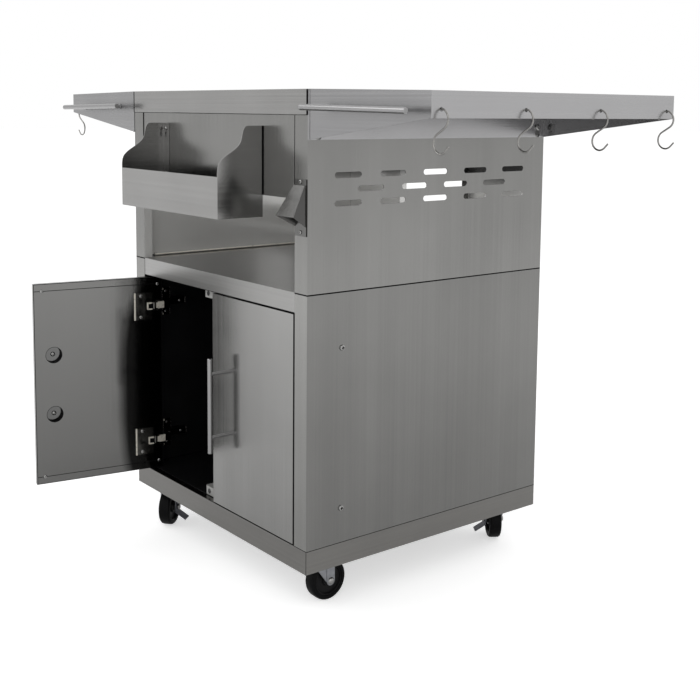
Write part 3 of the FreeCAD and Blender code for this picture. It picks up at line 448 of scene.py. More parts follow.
def box_part(low, high, width=0.0, segments=2):
    part = bmesh.new()
    bmesh.ops.create_cube(part, size=1.0)
    low = Vector(low)
    high = Vector(high)
    bmesh.ops.scale(part, vec=high - low, verts=part.verts)
    bmesh.ops.translate(part, vec=(high + low) / 2, verts=part.verts)
    return soften(part, width, segments) if width else part


def turned_part(profile, closed=False):
    """Spin a profile of (radius, height) points round Z."""
    part = bmesh.new()
    corners = [part.verts.new((radius, 0, height)) for radius, height in profile]
    pairs = list(zip(corners, corners[1:] + corners[:1] if closed else corners[1:]))
    edges = [part.edges.new(pair) for pair in pairs]
    bmesh.ops.spin(part, geom=corners + edges, cent=(0, 0, 0), axis=(0, 0, 1), angle=2 * math.pi,
                   steps=sizes().sides_round, use_merge=True)
    bmesh.ops.remove_doubles(part, verts=part.verts, dist=SAME_PLACE)
    return part


def ring_part(inner, outer, height):
    """Flat ring standing on the origin."""
    return turned_part([(inner, 0), (outer, 0), (outer, height), (inner, height)], closed=True)


def pointed(start, direction):
    """Place and turn that carry +Z to a direction from a start point."""
    turn = Vector((0, 0, 1)).rotation_difference(Vector(direction))
    return Matrix.Translation(start) @ turn.to_matrix().to_4x4()


def rod_part(start, end, radius, chamfer=0.0):
    """Round bar between two points with chamfered ends."""
    run = (Vector(end) - Vector(start)).length
    profile = [(0, 0), (radius - chamfer, 0), (radius, chamfer), (radius, run - chamfer),
               (radius - chamfer, run), (0, run)]
    return moved(turned_part(profile), pointed(start, Vector(end) - Vector(start)))


def swept_part(path, radius, sides=14):
    """Wire of one thickness along a path, with rounded ends."""
    part = bmesh.new()
    bmesh.ops.create_circle(part, cap_ends=True, radius=radius, segments=sides)
    steps = [path[0]] + list(path) + [path[-1]]
    tangents = [(steps[i + 2] - steps[i]).normalized() for i in range(len(path))]
    moved(part, pointed(path[0], tangents[0]))
    cap = part.faces[:][0]
    for index in range(1, len(path)):
        made = bmesh.ops.extrude_face_region(part, geom=[cap])["geom"]
        corners = [item for item in made if isinstance(item, bmesh.types.BMVert)]
        cap = [item for item in made if isinstance(item, bmesh.types.BMFace)][0]
        turn = tangents[index - 1].rotation_difference(tangents[index]).to_matrix().to_4x4()
        step = Matrix.Translation(path[index]) @ turn @ Matrix.Translation(-path[index - 1])
        bmesh.ops.transform(part, matrix=step, verts=corners)
    return soften(part, radius * 0.6, 3, 60.0)


def hull_part(parts):
    """Smallest convex solid round several parts."""
    whole = bmesh.new()
    for part in parts:
        gather(whole, part)
    made = bmesh.ops.convex_hull(whole, input=whole.verts)
    spare = {item for item in made["geom_interior"] + made["geom_unused"]
             if isinstance(item, bmesh.types.BMVert)}
    bmesh.ops.delete(whole, geom=list(spare), context="VERTS")
    skin = set(made["geom"])
    inside = [face for face in whole.faces if face not in skin]
    bmesh.ops.delete(whole, geom=inside, context="FACES_ONLY")
    bmesh.ops.dissolve_limit(whole, angle_limit=math.radians(1), verts=whole.verts, edges=whole.edges)
    return whole


def copied(node):
    """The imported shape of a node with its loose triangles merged."""
    part = bmesh.new()
    part.from_mesh(frame["nodes"][node].data)
    bmesh.ops.remove_doubles(part, verts=part.verts, dist=CAD_SEAM)
    return part


def cross_screw(radius, height, shank_radius, shank_length):
    """Pan-head screw with a cross recess, whose head's top lies at the origin and faces +Z."""
    arm = radius * 0.55
    half = radius * 0.15
    depth = min(sizes().recess_depth, height * 0.6)
    end = -height - shank_length
    part = turned_part([(radius * 0.62, 0), (radius * 0.9, -height * 0.28), (radius, -height * 0.62),
                        (radius, -height), (shank_radius, -height), (shank_radius, end), (0, end)])
    outline = [(arm, -half), (arm, half), (half, half), (half, arm), (-half, arm), (-half, half),
               (-arm, half), (-arm, -half), (-half, -half), (-half, -arm), (half, -arm), (half, -half)]
    corners = [part.verts.new((x, y, 0)) for x, y in outline]
    inner = [part.edges.new(pair) for pair in zip(corners, corners[1:] + corners[:1])]
    rim = [edge for edge in part.edges if len(edge.link_faces) == 1]
    bmesh.ops.bridge_loops(part, edges=rim + inner)
    walls = bmesh.ops.extrude_edge_only(part, edges=inner)["geom"]
    lowered = [item for item in walls if isinstance(item, bmesh.types.BMVert)]
    bmesh.ops.translate(part, vec=(0, 0, -depth), verts=lowered)
    floor_edges = [item for item in walls if isinstance(item, bmesh.types.BMEdge)
                   and all(corner in lowered for corner in item.verts)]
    bmesh.ops.edgeloop_fill(part, edges=floor_edges)
    return part


def hex_part(across, height, chamfer=0.0005):
    """Hexagon nut or head standing on the origin."""
    part = bmesh.new()
    bmesh.ops.create_cone(part, cap_ends=True, segments=6, radius1=across / math.sqrt(3),
                          radius2=across / math.sqrt(3), depth=height)
    bmesh.ops.translate(part, vec=(0, 0, height / 2), verts=part.verts)
    return soften(part, chamfer)


def looks_in():
    """Test for faces that look at the cabinet's middle, and for the tops of its bottom flanges."""
    low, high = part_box("deck")
    middle = (low + high) / 2

    def test(face):
        place = face.calc_center_median()
        way = Vector((middle.x - place.x, middle.y - place.y, 0))
        turned_in = face.normal.dot(way) > 0.02 and abs(face.normal.z) < 0.9
        return turned_in or (face.normal.z > 0.9 and place.z < high.z + 0.01)

    return test


def looks_forward(face):
    return face.normal.y < -0.5


def looks_aside(face):
    return abs(face.normal.x) > 0.5


def finish_piece(name, part, finish, body, stands_for=(), sharp=38.0, others=None):
    """Close the mesh, give it its finishes and let it ride on its body."""
    others = others or {}
    bmesh.ops.remove_doubles(part, verts=part.verts, dist=SAME_PLACE)
    bmesh.ops.recalc_face_normals(part, faces=part.faces)
    for face in part.faces:
        face.smooth = True
    for index, test in enumerate(others.values(), 1):
        for face in part.faces:
            if test(face):
                face.material_index = index
    mesh = bpy.data.meshes.new(name)
    part.to_mesh(mesh)
    part.free()
    mesh.set_sharp_from_angle(angle=math.radians(sharp))
    for each in [finish] + list(others):
        mesh.materials.append(bpy.data.materials[each])
    piece = bpy.data.objects.new(name, mesh)
    bpy.context.scene.collection.objects.link(piece)
    weighted = piece.modifiers.new("weighted_normals", "WEIGHTED_NORMAL")
    weighted.keep_sharp = True
    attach(piece, body)
    if stands_for:
        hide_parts(*stands_for)


def body_with(node):
    return next(body for body, nodes in frame["record"]["behaviour"]["bodies"].items() if node in nodes)


def rounded_node(node, width, others=None):
    """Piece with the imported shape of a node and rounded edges."""
    part = copied(node)
    bmesh.ops.dissolve_limit(part, angle_limit=math.radians(0.6), verts=part.verts, edges=part.edges)
    finish_piece(node + "_sheet", soften(part, width), finish_of(node), body_with(node), [node],
                 others=others)


def islands(part):
    """Loose solids of a mesh as lists of vertices."""
    left = set(part.verts)
    found = []
    while left:
        stack = [left.pop()]
        group = []
        while stack:
            vertex = stack.pop()
            group.append(vertex)
            for edge in vertex.link_edges:
                other = edge.other_vert(vertex)
                if other in left:
                    left.remove(other)
                    stack.append(other)
        found.append(group)
    return found


def screws_of(node):
    """Head top, outward direction, radii and whole length of each screw of a node."""
    part = copied(node)
    places = []
    for group in islands(part):
        points = [vertex.co.copy() for vertex in group]
        low = Vector([min(point[i] for point in points) for i in range(3)])
        high = Vector([max(point[i] for point in points) for i in range(3)])
        size = high - low
        axis = min((abs(size[(i + 1) % 3] - size[(i + 2) % 3]), i) for i in range(3))[1]
        middle = (low + high) / 2
        reach = size[axis]
        line = Vector([i == axis for i in range(3)])

        def widest(near):
            return max((point - middle - (point - middle)[axis] * line).length for point in near)

        at_high = widest([point for point in points if point[axis] > high[axis] - reach / 8])
        at_low = widest([point for point in points if point[axis] < low[axis] + reach / 8])
        out = line if at_high > at_low else -line
        top = middle.copy()
        top[axis] = high[axis] if at_high > at_low else low[axis]
        places.append((top, out, size[(axis + 1) % 3] / 2, min(at_high, at_low), reach))
    part.free()
    return places


def screw_set(name, node, body, places, matrix=None):
    """Cross-recess screws in place of a node's plain ones."""
    whole = bmesh.new()
    for top, out, radius, shank, reach in places:
        height = radius * SCREW_HEAD_SHARE
        gather(whole, cross_screw(radius, height, shank, reach - height), pointed(top, out))
    if matrix is not None:
        moved(whole, matrix)
    finish_piece(name, whole, "screw_plate", body, [node], 30.0)


def mirror_place(side):
    return Matrix.Identity(4) if side == "right" else Matrix.Scale(-1, 4, (1, 0, 0))


def door_place(side):
    """Where a piece of the closed right door goes: the left door mirrors it and stands open."""
    if side == "right":
        return Matrix.Identity(4)
    joint = JOINTS["door_left_hinge"]
    pivot = Vector(joint["pos_m"])
    turn = Matrix.Rotation(-math.radians(joint["range_deg"][0]), 4, Vector(joint["axis"]))
    return Matrix.Translation(pivot) @ turn @ Matrix.Translation(-pivot) @ mirror_place(side)


def post_heights(low, high):
    """Heights of the two posts of a door's handle, and of the access holes behind them."""
    middle = (low.z + high.z) / 2
    return (middle - sizes().handle_spread, middle + sizes().handle_spread)


def hinge_heights():
    """Heights of the middles of a door's two hinges."""
    low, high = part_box("hinge_arms_right")
    return (low.z + sizes().plate_half, high.z - sizes().plate_half)


# Operators, one for each group of pieces

class GRILLCART_OT_finishes(bpy.types.Operator):
    """Make the cart's finishes and give each plain node its own"""

    bl_idname = "grill_cart.finishes"
    bl_label = "Finishes"

    def execute(self, context):
        make_finishes()
        for node, thing in frame["nodes"].items():
            thing.data.materials.clear()
            thing.data.materials.append(bpy.data.materials[finish_of(node)])
        return {"FINISHED"}


class GRILLCART_OT_cabinet(bpy.types.Operator):
    """Fold the lower cabinet: tray, deck, sides, black side linings and floor"""

    bl_idname = "grill_cart.cabinet"
    bl_label = "Lower cabinet"

    def execute(self, context):
        rounded_node("base_tray", sizes().fold)
        # Painted light on the deck's front faces
        rounded_node("deck", sizes().fold, {"stainless_apron": looks_forward})
        for side in SIDES:
            # Painted light on the sides' front faces
            rounded_node("lower_side_" + side, sizes().fold, {"stainless_post": looks_forward})
        for node in ("side_liner_right", "side_liner_left", "cabinet_floor"):
            rounded_node(node, sizes().thin_fold)
        return {"FINISHED"}


class GRILLCART_OT_upper(bpy.types.Operator):
    """Fold the upper cabinet: slotted sides, front panel, back and top frame"""

    bl_idname = "grill_cart.upper"
    bl_label = "Upper cabinet"

    def execute(self, context):
        for node in ("upper_side_right", "upper_side_left", "front_panel", "upper_back"):
            rounded_node(node, sizes().fold, {"mill_finish": looks_in()})
        rounded_node("top_frame", sizes().fold)
        self.beads()
        return {"FINISHED"}

    def beads(self):
        """Rolled edges along the bottom flanges of the upper sides, in a painted highlight."""
        low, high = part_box("upper_side_right")
        radius = sizes().bead
        flange_reach = 0.0165
        front_margin = 0.0345
        rear_margin = 0.0400
        z = low.z + 0.0022
        part = bmesh.new()
        for x in (flange_reach - high.x, high.x - flange_reach):
            start, end = (x, low.y + front_margin, z), (x, high.y - rear_margin, z)
            gather(part, rod_part(start, end, radius, radius / 3))
        finish_piece("flange_beads", part, "bright_nickel", "cart")


class GRILLCART_OT_shelves(bpy.types.Operator):
    """Fold both side shelves and set a towel bar on the front of each"""

    bl_idname = "grill_cart.shelves"
    bl_label = "Shelves and towel bars"

    def execute(self, context):
        for side in SIDES:
            # Painted sheen on the shelves' side faces
            rounded_node("shelf_" + side, sizes().fold, {"stainless_fascia": looks_aside})
            self.towel_bar(side)
        return {"FINISHED"}

    def towel_bar(self, side):
        low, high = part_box("towel_bar_right")
        radius = sizes().towel_radius
        inset = sizes().post_inset
        half = (high.x - low.x) / 2
        fall = (high.z - low.z) / 2 - radius
        middle = (low.z + high.z) / 2
        y = low.y + radius
        part = rod_part((low.x, y, middle + fall), (high.x, y, middle - fall), radius, sizes().bar_chamfer)
        for way in (-1, 1):
            x = (low.x + high.x) / 2 + way * (half - inset)
            z = middle - way * fall * (1 - inset / half)
            gather(part, rod_part((x, high.y, z), (x, y, z), sizes().towel_post))
            gather(part, rod_part((x, high.y, z), (x, high.y - sizes().collar_height, z),
                                  sizes().collar_radius, 0.0004))
        finish_piece("towel_rail_" + side, moved(part, mirror_place(side)), "bar_steel", "cart",
                     ["towel_bar_" + side])


class GRILLCART_OT_hooks(bpy.types.Operator):
    """Bend the S-hooks that hang in the outer edges of the shelves"""

    bl_idname = "grill_cart.hooks"
    bl_label = "Hooks"

    def execute(self, context):
        for side in SIDES:
            for index in range(1, 5):
                self.hook(side, index)
        return {"FINISHED"}

    def hook(self, side, index):
        node = "hook_%s_%d" % (side, index)
        loop = sizes().hook_loop
        upper = sizes().hook_wire / 2 - loop
        lower = upper - sizes().hook_spacing
        lean = math.degrees(math.asin(2 * loop / sizes().hook_spacing))

        def around(first, last, centre, count):
            turns = [math.radians(first + (last - first) * step / count) for step in range(count + 1)]
            return [Vector((loop * math.cos(turn), 0, centre + loop * math.sin(turn))) for turn in turns]

        path = around(180, -lean, upper, count=26) + around(180 - lean, 315, lower, count=22)
        path.append(path[-1] + Vector((1, 0, 1)).normalized() * sizes().hook_tip)
        place = Matrix.Translation(Vector(JOINTS[node + "_swing"]["pos_m"])) @ mirror_place(side)
        part = moved(swept_part(path, sizes().hook_wire), place)
        finish_piece(node + "_wire", part, "polished_wire", node, [node], 50.0)


class GRILLCART_OT_rack(bpy.types.Operator):
    """Fold the condiment rack and press the bottle opener"""

    bl_idname = "grill_cart.rack"
    bl_label = "Rack and bottle opener"

    def execute(self, context):
        rounded_node("rack", sizes().thin_fold)
        # Painted shade on the opener's side faces
        rounded_node("bottle_opener", sizes().thin_fold, {"stainless_cheek": looks_aside})
        screw_set("accessory_screw_heads", "accessory_screws", "cart", screws_of("accessory_screws"))
        return {"FINISHED"}


class GRILLCART_OT_doors(bpy.types.Operator):
    """Fold the doors with their inner skins, and set their handles, access cups, lines and screws"""

    bl_idname = "grill_cart.doors"
    bl_label = "Doors and handles"

    def execute(self, context):
        places = screws_of("door_screws_right")
        for side in SIDES:
            rounded_node("door_skin_" + side, sizes().fold)
            rounded_node("door_inner_" + side, sizes().thin_fold / 2)
            self.handle(side)
            self.access_cups(side)
            self.skin_lines(side)
            screw_set("door_screw_heads_" + side, "door_screws_" + side, "door_" + side, places,
                      door_place(side))
        return {"FINISHED"}

    def handle(self, side):
        low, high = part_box("door_handle_right")
        radius = (high.x - low.x) / 2
        x = (low.x + high.x) / 2
        y = low.y + radius
        part = rod_part((x, y, low.z), (x, y, high.z), radius, sizes().bar_chamfer)
        for z in post_heights(low, high):
            gather(part, rod_part((x, high.y, z), (x, y, z), sizes().handle_post))
        finish_piece("door_grip_" + side, moved(part, door_place(side)), "bar_steel", "door_" + side,
                     ["door_handle_" + side])

    def access_cups(self, side):
        """Black cups behind the access holes, which paint the shade on the holes' walls, each with a bare floor
        and a black washer under the screw.
        """
        low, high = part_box("door_handle_right")
        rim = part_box("door_inner_right")[1].y - 0.0002
        floor_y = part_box("door_skin_right")[0].y + 0.0015
        radius = sizes().cup_radius
        hole = 0.0026
        depth = rim - floor_y - 0.0005
        x = (low.x + high.x) / 2
        washer = [(0.0022, 0), (0.0042, 0), (0.0045, 0.0004), (0.0045, 0.0009), (0.0022, 0.0009)]
        cups = bmesh.new()
        floors = bmesh.new()
        for z in post_heights(low, high):
            cup = ring_part(radius - sizes().cup_wall, radius, depth)
            gather(cups, cup, pointed((x, rim, z), (0, -1, 0)))
            gather(cups, turned_part(washer, closed=True), pointed((x, floor_y + 0.0004, z), (0, 1, 0)))
            floor = ring_part(hole, radius - 0.0008, 0.0002)
            gather(floors, floor, pointed((x, floor_y, z), (0, 1, 0)))
        finish_piece("access_cups_" + side, moved(cups, door_place(side)), "seal_black", "door_" + side)
        finish_piece("access_floors_" + side, moved(floors, door_place(side)), "mirror_steel",
                     "door_" + side)

    def skin_lines(self, side):
        """Painted shade in the border grooves of the inner skin and in the gap round its edge."""
        low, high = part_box("door_inner_right")
        line = sizes().skin_line
        border = sizes().skin_border
        notch = sizes().hinge_notch
        front = low.y + 0.0002
        back = high.y + 0.0001
        free_edge = (low.x - line / 2, low.x + line / 2)
        hinge_edge = (high.x - line / 2, high.x + line / 2)
        part = bmesh.new()
        for z in (low.z + border, high.z - border - line):
            gather(part, box_part((low.x, low.y + 0.0005, z), (high.x, high.y - 0.0002, z + line)))
        for z in (low.z - line / 2, high.z - line / 2):
            gather(part, box_part((free_edge[0], front, z), (hinge_edge[1], back, z + line)))
        gather(part, box_part((free_edge[0], front, low.z), (free_edge[1], back, high.z)))
        stops = [low.z] + [z + step for z in hinge_heights() for step in (-notch, notch)] + [high.z]
        for start, end in zip(stops[::2], stops[1::2]):
            gather(part, box_part((hinge_edge[0], front, start), (hinge_edge[1], back, end)))
        finish_piece("skin_lines_" + side, moved(part, door_place(side)), "seal_black", "door_" + side)


class GRILLCART_OT_hinges(bpy.types.Operator):
    """Make the concealed hinges with their adjusting screws"""

    bl_idname = "grill_cart.hinges"
    bl_label = "Hinges"

    def execute(self, context):
        for side in SIDES:
            rounded_node("door_hinge_cups_" + side, sizes().hinge_edge)
            rounded_node("hinge_arms_" + side, sizes().hinge_edge)
            self.screws(side)
            self.edges(side)
            self.links(side)
        return {"FINISHED"}

    def screws(self, side):
        """Adjusting and fixing screws of each arm, and the pressed edges of its plate."""
        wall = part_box("hinge_arms_right")[1].x
        pin_y = JOINTS["door_right_hinge"]["pos_m"][1]
        arm_face = wall - 0.0116
        plate_face = wall - 0.0034
        part = bmesh.new()
        for z in hinge_heights():
            heads = [(arm_face, pin_y + 0.047, z, 0.0034), (arm_face, pin_y + 0.074, z, 0.0029)]
            heads += [(plate_face, pin_y + 0.046, z + rise, 0.0036) for rise in (-0.0215, 0.0215)]
            for x, y, height, radius in heads:
                gather(part, cross_screw(radius, 0.0018, 0.001, 0.002), pointed((x, y, height), (-1, 0, 0)))
            ribs = ((0.0372, 0.0285, 0.0026), (0.0547, 0.0285, 0.0026), (0.0872, 0.0066, 0.0112))
            for back, half, thick in ribs:
                gather(part, box_part((wall - thick, pin_y + back, z - half),
                                      (wall - 0.0001, pin_y + back + 0.0008, z + half), 0.0002))
        finish_piece("hinge_screws_" + side, moved(part, mirror_place(side)), "screw_plate", "cart",
                     (), 30.0)

    def edges(self, side):
        """Painted highlights: a bright link from each pin to its arm, and bright corners on its plate."""
        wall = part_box("hinge_arms_right")[1].x
        pin_x, pin_y = JOINTS["door_right_hinge"]["pos_m"][:2]
        part = bmesh.new()
        for z in hinge_heights():
            for near, far, half, width in ((0.0042, 0.0090, 0.0058, 0.0006),
                                           (0.0082, 0.0225, 0.0073, 0.0009)):
                gather(part, box_part((pin_x - 0.0027, pin_y + near, z - half),
                                      (pin_x + 0.0022, pin_y + far, z + half), width))
            for rise in (-0.0265, 0.0265):
                gather(part, box_part((wall - 0.0026, pin_y + 0.0380, z + rise - 0.0020),
                                      (wall - 0.0001, pin_y + 0.0400, z + rise + 0.0020), 0.0005))
        finish_piece("hinge_edges_" + side, moved(part, mirror_place(side)), "bright_nickel", "cart")

    def links(self, side):
        """Edge strip and bracket in painted highlight, and a window in painted shade, on each hinge cup, which
        move with the door.
        """
        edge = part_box("door_hinge_cups_right")[0].x
        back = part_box("door_inner_right")[1].y
        near = edge + 0.0270
        far = edge + 0.0378
        top = back + 0.0052
        limb = 0.0026
        half = 0.0076
        bright = bmesh.new()
        dark = bmesh.new()
        for z in hinge_heights():
            gather(bright, box_part((edge - 0.0002, back, z - 0.0282),
                                    (edge + 0.0030, back + 0.0032, z + 0.0282), 0.0007))
            for foot in (z - half, z + half - limb):
                gather(bright, box_part((near, back, foot), (far, top, foot + limb), 0.0006))
            gather(bright, box_part((near, back, z - half), (near + 0.0022, top, z + half), 0.0006))
            gather(dark, box_part((near + 0.0018, back + 0.0012, z - 0.0052),
                                  (far - 0.0002, back + 0.0030, z + 0.0052), 0.0004))
        for name, part, finish in (("hinge_links_", bright, "bright_nickel"),
                                   ("hinge_windows_", dark, "seal_black")):
            finish_piece(name + side, moved(part, door_place(side)), finish, "door_" + side)


class GRILLCART_OT_catches(bpy.types.Operator):
    """Mould the magnetic catches and set their magnets"""

    bl_idname = "grill_cart.catches"
    bl_label = "Catches"

    def execute(self, context):
        rounded_node("catches", sizes().catch_edge)
        low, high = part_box("catches")
        from_side = 0.015
        from_end = 0.0085
        part = bmesh.new()
        for z in (low.z + from_end, high.z - from_end):
            for x in (low.x + from_side, high.x - from_side):
                gather(part, rod_part((x, low.y + 0.0012, z), (x, low.y - 0.0001, z), sizes().magnet_radius,
                                      0.0005))
        finish_piece("catch_magnets", part, "magnet_black", "cart")
        return {"FINISHED"}


class GRILLCART_OT_castors(bpy.types.Operator):
    """Make the castors: pressed forks, bolts, wheels with tyres and brake levers"""

    bl_idname = "grill_cart.castors"
    bl_label = "Castors"

    def execute(self, context):
        for corner in CORNERS:
            place = self.place(corner)
            self.fork(corner, place)
            self.wheel(corner, place)
            rounded_node("castor_brake_" + corner, sizes().brake_edge)
        return {"FINISHED"}

    def place(self, corner):
        """Where the castor stands and how far it is turned. Its wheel trails along +X before that."""
        swivel = Vector(JOINTS["castor_%s_swivel" % corner]["pos_m"])
        hub = Vector(JOINTS["castor_%s_roll" % corner]["pos_m"])
        run = hub - swivel
        self.trail = math.hypot(run.x, run.y)
        self.hub_z = hub.z
        turn = Matrix.Rotation(math.atan2(run.y, run.x), 4, "Z")
        return Matrix.Translation((swivel.x, swivel.y, 0)) @ turn

    def fork(self, corner, place):
        outer = sizes().fork_half
        leg = sizes().fork_sheet
        rib = sizes().rib_height
        crown = sizes().crown_radius
        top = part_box("castor_plates")[0].z - 0.0003
        low = top - 0.003
        kingpin = 0.005
        back = -0.018
        whole = turned_part([(0, low), (crown - 0.0025, low), (crown - 0.0008, low + 0.0006),
                             (crown, low + 0.0018), (crown - 0.0008, top - 0.0004), (crown - 0.0025, top),
                             (kingpin, top), (kingpin, top + 0.0062), (0, top + 0.0062)])
        gather(whole, box_part((back, -outer, low - leg), (crown, outer, low + 0.0002), 0.0009, 3))
        for inner_y, outer_y in ((-outer, leg - outer), (outer - leg, outer)):
            wing = box_part((back, inner_y, low - leg), (crown, outer_y, low - 0.0008))
            gather(whole, soften(hull_part([self.round_end(0.0080, inner_y, outer_y), wing]), 0.0005))
        rib_top = box_part((self.trail - 0.009, -outer - rib, low - 0.008),
                           (self.trail + 0.0085, leg - outer, low - leg / 2))
        gather(whole, soften(hull_part([self.round_end(0.0088, -outer - rib, leg - outer), rib_top]), 0.0007))
        finish_piece("castor_legs_" + corner, moved(whole, place), "castor_zinc", "castor_fork_" + corner,
                     ["castor_fork_" + corner])
        self.axle(corner, place, -outer - rib, outer + 0.0026)

    def axle(self, corner, place, head_face, nut_face):
        """Axle bolt with a domed head at one face of the fork and a nut at the other."""
        at_axle = Matrix.Translation((self.trail, 0, self.hub_z))
        part = rod_part((self.trail, head_face, self.hub_z), (self.trail, nut_face + 0.004, self.hub_z),
                        sizes().axle_radius, 0.0006)
        nut = hex_part(across=0.0112, height=0.0037)
        gather(part, nut, at_axle @ pointed((0, nut_face, 0), (0, 1, 0)))
        head = turned_part([(0, 0.0040), (0.0030, 0.0038), (0.0052, 0.0026), (0.0064, 0.0008), (0.0065, 0),
                            (0, 0)])
        gather(part, head, at_axle @ pointed((0, head_face, 0), (0, -1, 0)))
        finish_piece("castor_axle_" + corner, moved(part, place), "screw_plate", "castor_fork_" + corner)

    def round_end(self, radius, low_y, high_y):
        return rod_part((self.trail, low_y, self.hub_z), (self.trail, high_y, self.hub_z), radius)

    def wheel(self, corner, place):
        """Tyre and moulded centre, each one half of a profile mirrored about the wheel's middle."""
        radius = self.hub_z
        groove = radius - sizes().tread_groove
        tyre = [(0.0285, 0.0112), (0.0290, 0.0119), (0.0305, 0.0120), (0.0320, 0.0116), (0.0326, 0.0116),
                (0.0335, 0.0120), (0.0352, 0.0113), (0.0368, 0.0095), (radius - 0.0001, 0.0074),
                (groove, 0.0066), (groove, 0.0060), (radius, 0.0052)]
        centre = [(0.00405, 0.0128), (0.0078, 0.0128), (0.0084, 0.0122), (0.0088, 0.0110), (0.0112, 0.0108),
                  (0.0122, 0.0098), (0.0128, 0.0068), (0.0140, 0.0060), (0.0255, 0.0060), (0.0264, 0.0068),
                  (0.0270, 0.0100), (0.0279, 0.0106), (0.0286, 0.0104)]
        self.wheel_piece("castor_tyre_", corner, place, [(tyre[0][0], 0.0)] + tyre, tyre, "tyre_rubber",
                         ["castor_wheel_" + corner], 50.0)
        self.wheel_piece("castor_centre_", corner, place, centre, centre, "wheel_centre", (), 40.0)

    def wheel_piece(self, name, corner, place, near_half, far_half, finish, stands_for, sharp):
        profile = near_half + [(radius, -width) for radius, width in reversed(far_half)]
        lie = Matrix.Translation((self.trail, 0, self.hub_z)) @ Matrix.Rotation(math.pi / 2, 4, "X")
        part = moved(turned_part(profile, closed=True), place @ lie)
        finish_piece(name + corner, part, finish, "castor_wheel_" + corner, stands_for, sharp)


class GRILLCART_OT_fasteners(bpy.types.Operator):
    """Set the hinge bolts in the sides and the screws on the deck"""

    bl_idname = "grill_cart.fasteners"
    bl_label = "Fasteners"

    def execute(self, context):
        screw_set("cabinet_screw_heads", "cabinet_screws", "cart", screws_of("cabinet_screws"))
        return {"FINISHED"}


class GRILLCART_OT_painted_shade(bpy.types.Operator):
    """Lay black strips of painted shade in the cabinet's joints and beside its doors, front panel and rack"""

    bl_idname = "grill_cart.seals"
    bl_label = "Painted shade strips"

    def execute(self, context):
        side_low, side_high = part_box("lower_side_right")
        tray_low, tray_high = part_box("base_tray")
        frame_low, frame_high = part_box("top_frame")
        upper_low, upper_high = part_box("upper_side_right")
        panel_low, panel_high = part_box("front_panel")
        rack_low, rack_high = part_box("rack")
        shelf_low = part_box("shelf_right")[0].z
        door_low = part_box("door_skin_right")[0].z
        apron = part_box("deck")[0]
        width = sizes().joint_line
        proud = sizes().joint_proud
        inner = side_high.x - LAP
        outer = side_high.x + proud
        sunk = side_high.x - proud
        front = side_low.y - proud
        behind = side_low.y + LAP
        gap_side = side_high.x + 0.0006
        post = panel_high.x + 0.0002
        mirrored = [
            ((inner, side_low.y, tray_high.z - width / 3), (outer, side_high.y, tray_high.z + 2 * width / 3)),
            ((side_low.x, front, tray_high.z), (outer, behind, tray_high.z + width)),
            ((inner, side_low.y, side_high.z), (sunk, side_high.y, upper_low.z)),
            ((side_low.x, side_low.y + proud, side_high.z), (sunk, behind, upper_low.z)),
            ((gap_side - sizes().frame_gap, frame_low.y - proud, frame_low.z),
             (gap_side, side_low.y, frame_high.z - 0.0006)),
            ((side_high.x - width / 2, front, shelf_low), (side_high.x + width / 2, behind, frame_low.z)),
            ((tray_high.x - width / 2, tray_low.y - proud, tray_low.z),
             (tray_high.x + proud, tray_low.y + width / 2, tray_high.z)),
            ((panel_high.x - 0.0027, panel_low.y - 0.0002, panel_low.z + 0.0006),
             (panel_high.x - 0.0012, panel_low.y + 0.0005, panel_high.z)),
            ((post, front, door_low), (post + width, side_low.y + 0.0004, apron.z)),
        ]
        single = [
            ((-panel_high.x, apron.y - proud, apron.z), (panel_high.x, apron.y + 0.0004, apron.z + width)),
            ((-side_high.x, front, upper_high.z - width / 2),
             (side_high.x, side_low.y + 0.0012, upper_high.z)),
        ]
        for x in (rack_low.x - 0.0001, rack_high.x - 0.0007):
            single.append(((x, panel_low.y - 0.0024, panel_low.z + 0.0005),
                           (x + 0.0008, panel_low.y - 0.0002, rack_high.z - 0.0002)))
        part = bmesh.new()
        for low, high in single:
            gather(part, box_part(low, high))
        for low, high in mirrored:
            for side in SIDES:
                gather(part, box_part(low, high), mirror_place(side))
        finish_piece("sealing_strips", part, "seal_black", "cart")
        return {"FINISHED"}


